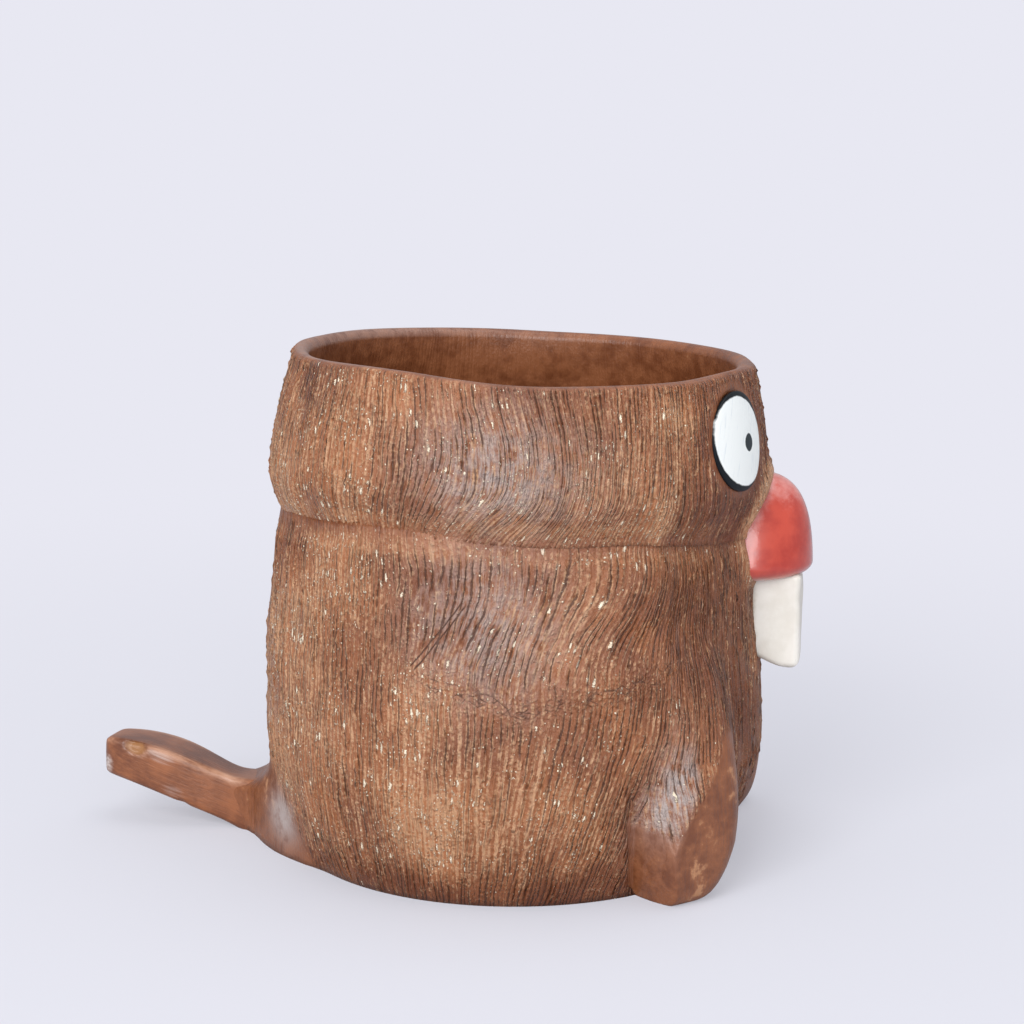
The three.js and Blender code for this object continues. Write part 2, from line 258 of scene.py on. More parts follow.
def combed_clay():
    """Earthenware combed while soft, stained brown, wiped and given a satin varnish.

    The stain stays dark in thin tool lines, with painted shade there too, and rubs off tan beside them;
    crumbs of pale clay show as specks, and a grey sheen is painted where the varnish would reflect the lamps.
    """
    material, tree = finish_named("combed_stained_earthenware")
    place = add(tree, "TexCoord", {}, {})["Object"]
    marks = {name: add(tree, "Attribute", {"attribute_name": name}, {})["Fac"]
             for name in ("groove", "ridge", "smooth", "wear_and_shade", "painted_sheen", "knot")}
    # Patches of 16 mm, brush marks of 4 mm, crumbs of 1.2 mm.
    blotch, brush, crumb = (add(tree, "TexNoise", {}, {"Vector": place, "Scale": 1000 / size, "Detail": 4,
                                                       "Roughness": 0.62})[0] for size in (16, 4, 1.2))

    # Millimetres on the wall, with a waver of 1 mm over 9 mm.
    sheet = add(tree, "UVMap", {"uv_map": WALL_MAP}, {})[0]
    sheet = add(tree, "VectorMath", {"operation": "SCALE"}, {0: sheet, "Scale": SHEET})[0]
    waver = add(tree, "TexNoise", {}, {"Vector": place, "Scale": 110, "Detail": 3})[1]
    sheet = add(tree, "VectorMath", {"operation": "MULTIPLY_ADD"}, {0: waver, 1: (1.6, 1.6, 0), 2: sheet})[0]

    # Comb lines 1.35 mm apart that drift together, by up to 1 mm over 8 by 45 mm.
    drift = add(tree, "VectorMath", {"operation": "MULTIPLY"}, {0: sheet, 1: (1 / 8, 1 / 45, 1)})[0]
    drift = add(tree, "TexNoise", {}, {"Vector": drift, "Scale": 1, "Detail": 2})[0]
    tooth = add(tree, "SeparateXYZ", {}, {0: sheet})[0]
    tooth = add(tree, "Math", {"operation": "MULTIPLY_ADD"}, {0: drift, 1: 5, 2: tooth})[0]
    tooth = add(tree, "Math", {"operation": "DIVIDE"}, {0: tooth, 1: 1.35})[0]
    tooth = add(tree, "Math", {"operation": "PINGPONG"}, {0: tooth, 1: 0.5})[0]
    tooth = add(tree, "Math", {"operation": "MULTIPLY_ADD"}, {0: crumb, 1: 0.2, 2: tooth})[0]
    comb = add(tree, "MapRange", {"interpolation_type": "SMOOTHSTEP"},
               {"Value": tooth, "From Min": 0.27, "From Max": 0.14})[0]
    furrow = add(tree, "MapRange", {"interpolation_type": "SMOOTHSTEP"},
                 {"Value": tooth, "From Min": 0.46, "From Max": 0.14})[0]

    # Short lines 0.8 mm apart, and scratches across the crease.
    lines = []
    for across, along, turn, width in ((0.85, 12, 0, 0.14), (2.2, 7, 58, 0.12), (2.6, 8, -35, 0.12)):
        cells = add(tree, "Mapping", {"vector_type": "TEXTURE"},
                    {"Vector": sheet, "Rotation": (0, 0, math.radians(turn)), "Scale": (across, along, 1)})[0]
        line = add(tree, "TexVoronoi", {"voronoi_dimensions": "2D", "feature": "DISTANCE_TO_EDGE"},
                   {"Vector": cells, "Scale": 1})[0]
        lines.append(add(tree, "MapRange", {"interpolation_type": "SMOOTHSTEP"},
                         {"Value": line, "From Min": width, "From Max": 0.0})[0])
    broken = add(tree, "VectorMath", {"operation": "MULTIPLY"}, {0: sheet, 1: (1 / 3.5, 1 / 16, 1)})[0]
    broken = add(tree, "TexNoise", {}, {"Vector": broken, "Scale": 1, "Detail": 3})[0]
    kept = add(tree, "MapRange", {"interpolation_type": "SMOOTHSTEP"},
               {"Value": broken, "From Min": 0.38, "From Max": 0.56})[0]
    calm = add(tree, "Math", {"operation": "MULTIPLY_ADD"}, {0: marks["wear_and_shade"], 1: -0.85, 2: 1.3})[0]
    calm = add(tree, "Math", {"operation": "MULTIPLY_ADD"}, {0: marks["knot"], 1: -0.6, 2: calm})[0]
    kept = add(tree, "Math", {"operation": "MULTIPLY", "use_clamp": True}, {0: kept, 1: calm})[0]
    cut = add(tree, "Math", {"operation": "MULTIPLY"}, {0: comb, 1: kept})[0]
    furrow = add(tree, "Math", {"operation": "MULTIPLY"}, {0: furrow, 1: kept})[0]
    faint = add(tree, "MapRange", {"interpolation_type": "SMOOTHSTEP"},
                {"Value": brush, "From Min": 0.42, "From Max": 0.62, "To Max": 0.55})[0]
    faint = add(tree, "Math", {"operation": "MULTIPLY"}, {0: lines[0], 1: faint})[0]
    cut = add(tree, "Math", {"operation": "MAXIMUM"}, {0: cut, 1: faint})[0]
    cross = add(tree, "Math", {"operation": "MAXIMUM"}, {0: lines[1], 1: lines[2]})[0]
    patchy = add(tree, "MapRange", {"interpolation_type": "SMOOTHSTEP"},
                 {"Value": brush, "From Min": 0.4, "From Max": 0.56, "To Max": 0.8})[0]
    cross = add(tree, "Math", {"operation": "MULTIPLY"}, {0: cross, 1: patchy})[0]
    cross = add(tree, "Math", {"operation": "MULTIPLY"}, {0: cross, 1: marks["knot"]})[0]
    cut = add(tree, "Math", {"operation": "MAXIMUM"}, {0: cut, 1: cross})[0]

    # A slip of the tool up the right side: two scratches 1.3 mm apart and 26 mm long.
    slip = add(tree, "VectorMath", {"operation": "MULTIPLY_ADD"}, {0: waver, 1: (0.001, 0, 0.002), 2: place})[0]
    slip = add(tree, "Mapping", {"vector_type": "TEXTURE"},
               {"Vector": slip, "Location": (-0.0168, 0, 0.0652), "Rotation": (0, math.radians(-53), 0),
                "Scale": (0.026, 1, 0.0013)})[0]
    slip = add(tree, "SeparateXYZ", {}, {0: slip})
    ends = add(tree, "Math", {"operation": "PINGPONG"}, {0: slip[0], 1: 0.5})[0]
    ends = add(tree, "MapRange", {"interpolation_type": "SMOOTHSTEP"}, {"Value": ends, "From Max": 0.12})[0]
    once = add(tree, "Math", {"operation": "COMPARE"}, {0: slip[0], 1: 0.5, 2: 0.5})[0]
    pair = add(tree, "Math", {"operation": "COMPARE"}, {0: slip[2], 1: 0.5, 2: 0.9})[0]
    slip_line = add(tree, "Math", {"operation": "PINGPONG"}, {0: slip[2], 1: 0.5})[0]
    slip_line = add(tree, "MapRange", {"interpolation_type": "SMOOTHSTEP"},
                    {"Value": slip_line, "From Min": 0.24, "From Max": 0.06})[0]
    facing = add(tree, "Math", {"operation": "LESS_THAN"}, {0: slip[1], 1: 0.0})[0]
    for share in (ends, once, pair, facing):
        slip_line = add(tree, "Math", {"operation": "MULTIPLY"}, {0: slip_line, 1: share})[0]
    cut = add(tree, "Math", {"operation": "MAXIMUM"}, {0: cut, 1: slip_line})[0]
    half_groove = add(tree, "Math", {"operation": "MULTIPLY"}, {0: marks["groove"], 1: 0.3})[0]
    deep = add(tree, "Math", {"operation": "MAXIMUM"}, {0: cut, 1: half_groove})[0]

    # Streaks 0.4 mm wide and 7 mm long in the stain.
    streak = add(tree, "VectorMath", {"operation": "MULTIPLY"}, {0: sheet, 1: (1 / 0.4, 1 / 7, 1)})[0]
    streak = add(tree, "TexNoise", {}, {"Vector": streak, "Scale": 1, "Detail": 3, "Roughness": 0.6})[0]

    # Crumbs of clay torn up by the tool, 0.8 by 1.2 mm, in patches.
    torn = add(tree, "VectorMath", {"operation": "MULTIPLY"}, {0: sheet, 1: (1 / 0.8, 1 / 1.2, 1)})[0]
    torn = add(tree, "TexVoronoi", {"voronoi_dimensions": "2D"}, {"Vector": torn, "Scale": 1})["Distance"]
    torn = add(tree, "MapRange", {"interpolation_type": "SMOOTHSTEP"},
               {"Value": torn, "From Min": 0.5, "From Max": 0.1})[0]
    patches = add(tree, "MapRange", {"interpolation_type": "SMOOTHSTEP"},
                  {"Value": brush, "From Min": 0.44, "From Max": 0.62})[0]
    patches = add(tree, "Math", {"operation": "MAXIMUM"}, {0: patches, 1: marks["knot"]})[0]
    torn = add(tree, "Math", {"operation": "MULTIPLY"}, {0: torn, 1: patches})[0]

    # Stain: two browns in patches, darker where painted shade lowers the wear mark, tan rubbed beside the lines and on
    # crumbs, umber in the cuts as stain and painted shade.
    tone = add(tree, "Math", {"operation": "MULTIPLY_ADD"}, {0: marks["wear_and_shade"], 1: 0.45, 2: blotch})[0]
    tone = add(tree, "Math", {"operation": "MULTIPLY_ADD"}, {0: streak, 1: 0.3, 2: tone})[0]
    tone = add(tree, "MapRange", {"interpolation_type": "SMOOTHSTEP"},
               {"Value": tone, "From Min": 0.5, "From Max": 1.2})[0]
    base = add(tree, "Mix", {"data_type": "RGBA"}, {0: tone, 6: colour("6c391d"), 7: colour("a0643c")})[2]
    beside = add(tree, "MapRange", {"interpolation_type": "SMOOTHSTEP"},
                 {"Value": tooth, "From Min": 0.45, "From Max": 0.27, "To Max": 0.35})[0]
    rubbed = add(tree, "Math", {"operation": "MULTIPLY_ADD"}, {0: marks["ridge"], 1: 0.5, 2: beside})[0]
    rubbed = add(tree, "Math", {"operation": "MULTIPLY_ADD"}, {0: crumb, 1: 2.0, 2: rubbed})[0]
    rubbed = add(tree, "Math", {"operation": "MULTIPLY_ADD"}, {0: torn, 1: 0.35, 2: rubbed})[0]
    rubbed = add(tree, "Math", {"operation": "MULTIPLY_ADD"}, {0: marks["wear_and_shade"], 1: 0.5, 2: rubbed})[0]
    rubbed = add(tree, "MapRange", {"interpolation_type": "SMOOTHSTEP"},
                 {"Value": rubbed, "From Min": 1.4, "From Max": 2.05, "To Max": 0.75})[0]
    stain = add(tree, "Mix", {"data_type": "RGBA"}, {0: rubbed, 6: base, 7: colour("c59a75")})[2]
    # A painted grey sheen, broken into streaks, where the satin varnish would reflect the lamps.
    sheen = add(tree, "Math", {"operation": "ADD"}, {0: streak, 1: brush})[0]
    sheen = add(tree, "MapRange", {"interpolation_type": "SMOOTHSTEP"}, {"Value": sheen, "From Min": 0.75, "From Max": 1.2})[0]
    sheen = add(tree, "Math", {"operation": "MULTIPLY"}, {0: sheen, 1: marks["painted_sheen"]})[0]
    stain = add(tree, "Mix", {"data_type": "RGBA"}, {0: sheen, 6: stain, 7: colour("a2938d")})[2]
    # Umber in the cuts and grooves: partly the stain left in them, partly painted shade in the hollows, darkest in the
    # crease behind each foreleg.
    umber = add(tree, "MapRange", {"interpolation_type": "SMOOTHSTEP"},
                {"Value": deep, "From Min": 0.15, "From Max": 0.9, "To Max": 0.85})[0]
    stain = add(tree, "Mix", {"data_type": "RGBA"}, {0: umber, 6: stain, 7: colour("43210f")})[2]

    # Pale clay: crumbs up to 0.6 mm and streaks up to 0.5 by 4 mm, more where the stain is worn.
    fine = add(tree, "TexNoise", {}, {"Vector": place, "Scale": 2500, "Detail": 2})[0]
    cluster = add(tree, "TexNoise", {}, {"Vector": place, "Scale": 120, "Detail": 2})[0]
    cluster = add(tree, "MapRange", {"interpolation_type": "SMOOTHSTEP"},
                  {"Value": cluster, "From Min": 0.42, "From Max": 0.66, "To Min": 0.1, "To Max": 2.4})[0]
    pale = []
    for across, along, most, big in ((0.8, 1.2, 0.38, 0.24), (1.3, 5, 0.34, 0.27)):
        cells = add(tree, "VectorMath", {"operation": "MULTIPLY"}, {0: sheet, 1: (1 / across, 1 / along, 1)})[0]
        cell = add(tree, "TexVoronoi", {"voronoi_dimensions": "2D"}, {"Vector": cells, "Scale": 1})
        draw = add(tree, "SeparateColor", {}, {"Color": cell["Color"]})
        share = add(tree, "MapRange", {}, {"Value": marks["wear_and_shade"], "From Min": 0.2, "To Min": 0.01, "To Max": most})[0]
        share = add(tree, "Math", {"operation": "MULTIPLY"}, {0: share, 1: cluster})[0]
        size = add(tree, "Math", {"operation": "LESS_THAN"}, {0: draw[0], 1: share})[0]
        wide = add(tree, "MapRange", {}, {"Value": draw[1], "To Min": 0.08, "To Max": big})[0]
        size = add(tree, "Math", {"operation": "MULTIPLY"}, {0: size, 1: wide})[0]
        ragged = add(tree, "Math", {"operation": "MULTIPLY_ADD"}, {0: fine, 1: 0.6, 2: cell["Distance"]})[0]
        inside = add(tree, "Math", {"operation": "SUBTRACT"}, {0: size, 1: ragged})[0]
        pale.append(add(tree, "MapRange", {}, {"Value": inside, "From Min": -0.3, "From Max": -0.22})[0])
    speck = add(tree, "Math", {"operation": "MAXIMUM"}, {0: pale[0], 1: pale[1]})[0]
    stain = add(tree, "Mix", {"data_type": "RGBA"}, {0: speck, 6: stain, 7: colour("ecdcc2")})[2]

    # Smoothed clay of the paws, the lip and the inside, with a few rubbed spots.
    mottle = add(tree, "Math", {"operation": "ADD"}, {0: blotch, 1: brush})[0]
    mottle = add(tree, "MapRange", {"interpolation_type": "SMOOTHSTEP"},
                 {"Value": mottle, "From Min": 0.7, "From Max": 1.25})[0]
    paint = add(tree, "Mix", {"data_type": "RGBA"}, {0: mottle, 6: colour("68391f"), 7: colour("855030")})[2]
    spots = add(tree, "Math", {"operation": "MULTIPLY_ADD"}, {0: marks["wear_and_shade"], 1: 0.3, 2: brush})[0]
    spots = add(tree, "MapRange", {"interpolation_type": "SMOOTHSTEP"},
                {"Value": spots, "From Min": 0.7, "From Max": 0.86, "To Max": 0.6})[0]
    paint = add(tree, "Mix", {"data_type": "RGBA"}, {0: spots, 6: paint, 7: colour("bd8a62")})[2]
    # A painted grey sheen on the smoothed parts too.
    cloud = add(tree, "MapRange", {"interpolation_type": "SMOOTHSTEP"},
                {"Value": mottle, "From Min": -0.5, "From Max": 0.7, "To Max": 0.75})[0]
    cloud = add(tree, "Math", {"operation": "MULTIPLY"}, {0: cloud, 1: marks["painted_sheen"]})[0]
    paint = add(tree, "Mix", {"data_type": "RGBA"}, {0: cloud, 6: paint, 7: colour("a2938d")})[2]
    skin = add(tree, "Mix", {"data_type": "RGBA"}, {0: marks["smooth"], 6: stain, 7: paint})[2]

    rough = add(tree, "MapRange", {}, {"Value": brush, "From Min": 0.3, "From Max": 0.7,
                                       "To Min": 0.34, "To Max": 0.48})[0]
    height = add(tree, "Math", {"operation": "MULTIPLY_ADD"}, {0: crumb, 1: 1.6, 2: speck})[0]
    height = add(tree, "Math", {"operation": "MULTIPLY_ADD"}, {0: streak, 1: 1.2, 2: height})[0]
    height = add(tree, "Math", {"operation": "MULTIPLY_ADD"}, {0: torn, 1: 0.6, 2: height})[0]
    height = add(tree, "Math", {"operation": "MULTIPLY_ADD"}, {0: cut, 1: -0.6, 2: height})[0]
    height = add(tree, "Math", {"operation": "MULTIPLY_ADD"}, {0: furrow, 1: -0.7, 2: height})[0]
    level = add(tree, "MapRange", {}, {"Value": marks["smooth"], "To Min": 1.0, "To Max": 0.22})[0]
    bump = add(tree, "Bump", {}, {"Strength": level, "Distance": 0.00045, "Height": height})[0]
    shader = add(tree, "BsdfPrincipled", {}, {"Base Color": skin, "Roughness": rough, "IOR": 1.5,
                                              "Normal": bump})[0]
    add(tree, "OutputMaterial", {}, {"Surface": shader})
    return material


def plain_finish(name, low, high, rubbed, grain, roughness, coat_weight=0.0):
    """A brushed-on coat whose colour drifts between two tones over a grain in millimetres.

    Where its mark is high, it goes cloudily over to the third colour: a painted pink sheen on the nose, a darker
    grey-brown towards the tip and back of the teeth.
    """
    material, tree = finish_named(name)
    place = add(tree, "TexCoord", {}, {})["Object"]
    drift = add(tree, "TexNoise", {}, {"Vector": place, "Scale": 1000 / grain, "Detail": 5, "Roughness": 0.6})[0]
    tone = add(tree, "MapRange", {"interpolation_type": "SMOOTHSTEP"},
               {"Value": drift, "From Min": 0.35, "From Max": 0.65})[0]
    coat = add(tree, "Mix", {"data_type": "RGBA"}, {0: tone, 6: colour(low), 7: colour(high)})[2]
    sheen_and_tint = add(tree, "Attribute", {"attribute_name": "sheen_and_tint"}, {})["Fac"]
    cloud = add(tree, "TexNoise", {}, {"Vector": place, "Scale": 260, "Detail": 4, "Roughness": 0.65})[0]
    sheen_and_tint = add(tree, "Math", {"operation": "MULTIPLY_ADD"}, {0: cloud, 1: 0.8, 2: sheen_and_tint})[0]
    sheen_and_tint = add(tree, "MapRange", {"interpolation_type": "SMOOTHSTEP"},
              {"Value": sheen_and_tint, "From Min": 0.62, "From Max": 1.2})[0]
    coat = add(tree, "Mix", {"data_type": "RGBA"}, {0: sheen_and_tint, 6: coat, 7: colour(rubbed)})[2]
    bump = add(tree, "Bump", {}, {"Strength": 0.35, "Distance": 0.0004, "Height": drift})[0]
    shader = add(tree, "BsdfPrincipled", {}, {"Base Color": coat, "Roughness": roughness, "IOR": 1.5, "Normal": bump,
                                              "Coat Weight": coat_weight, "Coat Roughness": 0.15,
                                              "Coat Normal": bump})[0]
    add(tree, "OutputMaterial", {}, {"Surface": shader})
    return material


def smoothed_clay():
    """Earthenware smoothed with a wet thumb, stained brown and rubbed: fine lines run along the tail.

    The stain is thin on the rounded edges and a chip shows golden clay; a whitish sheen is painted where the coat
    would catch the light, with a painted highlight at the tip.
    """
    material, tree = finish_named("smoothed_stained_earthenware")
    place = add(tree, "TexCoord", {}, {})["Object"]
    marks = {name: add(tree, "Attribute", {"attribute_name": name}, {})["Fac"]
             for name in ("edge", "chip", "painted_sheen")}
    blotch = add(tree, "TexNoise", {}, {"Vector": place, "Scale": 70, "Detail": 4, "Roughness": 0.6})[0]
    # Lines 0.7 mm apart and 25 mm long.
    along = add(tree, "Mapping", {"vector_type": "TEXTURE"},
                {"Vector": place, "Rotation": (0, math.radians(20), 0), "Scale": (0.025, 0.0007, 0.0007)})[0]
    line = add(tree, "TexNoise", {}, {"Vector": along, "Scale": 1, "Detail": 3, "Roughness": 0.6})[0]
    tone = add(tree, "Math", {"operation": "MULTIPLY_ADD"}, {0: line, 1: 0.4, 2: blotch})[0]
    tone = add(tree, "MapRange", {"interpolation_type": "SMOOTHSTEP"},
               {"Value": tone, "From Min": 0.5, "From Max": 0.92})[0]
    coat = add(tree, "Mix", {"data_type": "RGBA"}, {0: tone, 6: colour("62351e"), 7: colour("8d5533")})[2]
    edge = add(tree, "Math", {"operation": "MULTIPLY"}, {0: marks["edge"], 1: tone})[0]
    coat = add(tree, "Mix", {"data_type": "RGBA"}, {0: edge, 6: coat, 7: colour("b58a70")})[2]
    coat = add(tree, "Mix", {"data_type": "RGBA"}, {0: marks["chip"], 6: coat, 7: colour("8f6138")})[2]
    # A whitish painted sheen following the fine lines, and a painted highlight at the tip.
    sheen_haze = add(tree, "Math", {"operation": "MULTIPLY"}, {0: marks["painted_sheen"], 1: line})[0]
    sheen_haze = add(tree, "MapRange", {}, {"Value": sheen_haze, "From Min": 0.14, "From Max": 0.6, "To Max": 0.9})[0]
    coat = add(tree, "Mix", {"data_type": "RGBA"}, {0: sheen_haze, 6: coat, 7: colour("c0b4ae")})[2]
    bump = add(tree, "Bump", {}, {"Strength": 0.35, "Distance": 0.0003, "Height": tone})[0]
    shader = add(tree, "BsdfPrincipled", {}, {"Base Color": coat, "Roughness": 0.4, "IOR": 1.5, "Normal": bump})[0]
    add(tree, "OutputMaterial", {}, {"Surface": shader})
    return material


def painted_eye():
    """White enamel on the disc, with a black outline of uneven width and a slate pupil, all by brush."""
    material, tree = finish_named("brushed_eye_enamel")
    sheet = add(tree, "UVMap", {"uv_map": WALL_MAP}, {})[0]
    spot = add(tree, "VectorMath", {"operation": "SUBTRACT"}, {0: sheet, 1: (0.5, 0.5, 0)})[0]
    spot = add(tree, "VectorMath", {"operation": "SCALE"}, {0: spot, "Scale": EYE_SHEET})[0]
    sway = add(tree, "TexNoise", {}, {"Vector": spot, "Scale": 0.35, "Detail": 3})[1]
    spot_wavy = add(tree, "VectorMath", {"operation": "MULTIPLY_ADD"}, {0: sway, 1: (0.7, 0.7, 0), 2: spot})[0]
    oval = add(tree, "Mapping", {"vector_type": "TEXTURE"},
               {"Vector": spot_wavy, "Location": (0.55, 0.35, 0), "Rotation": (0, 0, math.radians(-28)),
                "Scale": (13.5, 11.8, 1)})[0]
    far = add(tree, "VectorMath", {"operation": "LENGTH"}, {0: oval})["Value"]
    outline = add(tree, "MapRange", {}, {"Value": far, "From Min": 0.985, "From Max": 1.015})[0]
    pupil = add(tree, "VectorMath", {"operation": "DISTANCE"}, {0: spot_wavy, 1: (4.3, -0.4, 0)})["Value"]
    pupil = add(tree, "MapRange", {}, {"Value": pupil, "From Min": 2.55, "From Max": 2.3})[0]
    # Brush lines 1.2 mm wide and 9 mm long.
    stroke = add(tree, "Mapping", {"vector_type": "TEXTURE"},
                 {"Vector": spot, "Rotation": (0, 0, math.radians(70)), "Scale": (9, 1.2, 1)})[0]
    stroke = add(tree, "TexNoise", {}, {"Vector": stroke, "Scale": 1, "Detail": 3, "Roughness": 0.6})[0]
    shade = add(tree, "MapRange", {"interpolation_type": "SMOOTHSTEP"},
                {"Value": stroke, "From Min": 0.55, "From Max": 0.72, "To Max": 0.6})[0]
    white = add(tree, "Mix", {"data_type": "RGBA"}, {0: shade, 6: colour("e6e9e6"), 7: colour("c5ced3")})[2]
    coat = add(tree, "Mix", {"data_type": "RGBA"}, {0: outline, 6: white, 7: colour("0b1116")})[2]
    coat = add(tree, "Mix", {"data_type": "RGBA"}, {0: pupil, 6: coat, 7: colour("242c2f")})[2]
    bump = add(tree, "Bump", {}, {"Strength": 0.4, "Distance": 0.0001, "Height": stroke})[0]
    shader = add(tree, "BsdfPrincipled", {}, {"Base Color": coat, "Roughness": 0.42, "IOR": 1.45, "Specular IOR Level": 0.2,
                                              "Normal": bump})[0]
    add(tree, "OutputMaterial", {}, {"Surface": shader})
    return material


EYE_SHEET = 40
FUR = combed_clay()
SMOOTH_CLAY = smoothed_clay()
# The red's third colour is a painted pink sheen; the cream's is a darker grey-brown tint.
RED = plain_finish("red_gloss_enamel", "a12714", "b63c26", "cb847c", 8, 0.3, 0.8)
CREAM = plain_finish("cream_satin_enamel", "cdc8be", "dad6ce", "a99f8c", 12, 0.38)
WHITE = painted_eye()
CLAY = plain_finish("bare_fired_earthenware", "b89b80", "d2bda5", "d2bda5", 6, 0.85)


# Walls

# How far the groove under the head and the rim wander up or down, in millimetres by angle.
GROOVE_DRIFT = [(-165, -3.5), (-147, -0.6), (-132, 0.5), (-112, 3.3), (-99, 3.2), (-82, 2.7), (-68, 2.6),
                (-57, 3.3), (-47, 2.2), (-27, -0.1), (-15, -0.8), (40, -0.5), (80, -1.5), (120, -1), (165, -3)]
RIM_DRIFT = [(-147, -0.3), (-122, 0.7), (-109, 0.6), (-89, -1), (-80, -1.3), (-61, -0.7), (-38, -0.4),
             (-25, 0.8), (30, 0.4), (90, -0.6), (150, 0.3)]


def comb_columns(start, heights, lean):
    """Angles in degrees of combed lines that start round the pot and lean to the front as they rise."""
    side = np.where(start < 0, -1, 1)
    along = np.abs(start)
    lines = [along]
    for low, high in zip(heights[:-1], heights[1:]):
        step = np.tan(np.radians(lean(along, low))) * (high - low)
        along = np.clip(along - np.degrees(step / 70), 0, 180)
        lines.append(along)
    return np.array(lines) * side


def body_lean(angle, height):
    swirl = 40 * bell(angle, 60, 20) * bell(height, 75, 11)
    swirl += 16 * bell(angle, 90, 14) * bell(height, 72, 12)
    swirl -= 16 * bell(angle, 105, 12) * bell(height, 91, 7)
    low = 15 * bell(angle, 62, 27) * (1 - ease(height, 40, 60))
    return swirl + low


def head_lean(angle, rise):
    arcs = 40 * bell(angle, 88, 25) * bell(rise, 5, 10)
    arcs -= 18 * bell(angle, 88, 26) * bell(rise, 37, 10)
    return arcs + 6 * bell(angle, 52, 12)


def nose_gap(turn, height, radius):
    """Distance in millimetres outside the nose's foot on the wall, negative inside it."""
    across = np.radians(turn) * radius
    up = (height - (NOSE_FULL + 9)) / np.where(height > NOSE_FULL + 9, 16.5, 14)
    return (np.sqrt((across / (NOSE_WIDTH / 2)) ** 2 + up ** 2) - 1) * 15


def crease_height(angle):
    """Height of the crease where the combing turns above the forelegs, by angle from the front."""
    return np.interp(angle, [30, 39.5, 62.5, 80.5, 99.5, 112], [72, 68, 58, 55, 60.7, 67])


def crease_knot(angle, height):
    """1 on the crease where strokes cross and break, and 0 away from it."""
    along = ease(angle, 36, 48) * (1 - ease(angle, 98, 114))
    return along * bell(height, crease_height(angle), 4.5)


def wear_and_shade_body(angle, height):
    """Where the stain is rubbed thin on the body, by angle from the front, with painted shade that darkens it towards
    the front.
    """
    wear_and_shade = 0.35 + 0.35 * bell(angle, 140, 28) * bell(height, 60, 40)
    wear_and_shade += 0.7 * bell(angle, 102, 14) * bell(height, 24, 15) + 0.4 * bell(angle, 102, 6) * bell(height, 50, 14)
    wear_and_shade += 0.35 * bell(angle, 158, 12) * bell(height, 35, 25) + 0.2 * bell(angle, 78, 22) * bell(height, 24, 14)
    # Darker just under the groove at the back; painted shade towards the front, where the wall turns away from the
    # lamps.
    wear_and_shade -= 0.3 * bell(angle, 150, 16) * bell(height, 92, 8) + 0.25 * bell(angle, 25, 25)
    return wear_and_shade


def under(a, b, soft):
    """The lower of two surfaces, rounded where they meet."""
    return np.minimum(a, b) - np.maximum(soft - np.abs(a - b), 0) ** 2 / (4 * soft)


def tail_flare(angle, height, wall):
    """How far the collar at the root of the tail, drawn out of the foot, swells the wall."""
    plan = np.interp(180 - angle, [0, 5, 5.45, 6.1, 7.1, 8.2, 10.2, 13, 17.4, 22.7, 28.9, 35, 45, 180],
                     [86.5, 86.5, 85, 83, 80.6, 78.6, 76.7, 75.2, 73.5, 71.4, 68.6, 66, 60, 40])
    side = np.interp(height, [0, 1, 2.5, 5, 9, 12, 14, 15.5, 17, 20, 25, 30, 97],
                     [80, 83, 85.5, 87, 87, 84.5, 78.5, 75.8, 74.2, 72.2, 70.2, 68.4, 40])
    swell = under(plan, side, 3) - wall
    return np.maximum(swell, 0) + np.maximum(0, 1 - np.abs(swell) / 4) ** 2


def leg_crease(height):
    """Angle between the middle of a foreleg and the crease behind it."""
    return np.interp(height, [0, 6, 22, 34, 46, 60, 79], [9.6, 10.9, 13.6, 14.8, 17, 20, 20])


def leg_width(height):
    """Width of a foreleg at a height, as a share of its greatest width: round at the top."""
    arch = np.sqrt(np.maximum(1 - (np.maximum(height - 25, 0) / (LEG_TOP - 21)) ** 2, 0.02))
    return arch * (0.84 + 0.16 * ease(height, -4, 14))


def leg_ridge(height):
    return np.clip(6.5 + (26 - height) * 0.3, 3.5, 9.5) * leg_width(height)


def leg_stand(off, height, wall, taper):
    """How far a foreleg stands out of the wall, by the angle behind its middle: a wedge with a ridge.

    taper tells how much the front corner of the paw is cut back towards the table.
    """
    wide = leg_width(height)
    ridge = leg_ridge(height)
    out = np.interp(height, [0, 0.4, 1, 2, 3.2, 5, 8, 13, 20, 30, 40, 50, 60, 70, 79],
                    [0.58, 0.66, 0.74, 0.82, 0.88, 0.94, 0.98, 1.01, 1.03, 0.98, 0.88, 0.7, 0.45, 0.2, 0])
    sharp = 0.8 + 5 * ease(height, 26, 42) + 2.5 * (1 - ease(height, 2, 12))
    front = 9.6 - 0.11 * (off - ridge)
    furred = 9.4 - 10.5 * (off - ridge) / np.maximum(leg_crease(height) - ridge, 1.5)
    flank = 10.9 + 1.31 * (off / wide + 7 - taper * np.interp(height, [0, 2, 5, 9, 15, 24], [7.5, 6, 4.4, 2.8, 1, 0]))
    form = under(under(front, furred, sharp), flank, 4)
    root = np.where(height > 30, np.minimum(70.4 - wall, 0), 70.4 - wall)
    stand = root + np.where(form > 0, form * out, form)
    soft = 1 + 6 * ease(height, 22, 46)
    stand = np.maximum(stand, 0) + 0.25 * soft * np.maximum(0, 1 - np.abs(stand) / soft) ** 2
    return stand * (1 - ease(height, 58, 80))


def leg_bare(off, height, ripple):
    """1 where the front and the paw of a foreleg are smoothed, and 0 on its combed side."""
    ridge = leg_ridge(height)
    edge = np.where(off > ridge, 19 + 0.5 * (off - ridge), 20 + 3.4 * (ridge - off))
    edge = np.minimum(edge, 46) + ripple
    return 1 - ease(height, edge - 1.2, edge + 1.2)


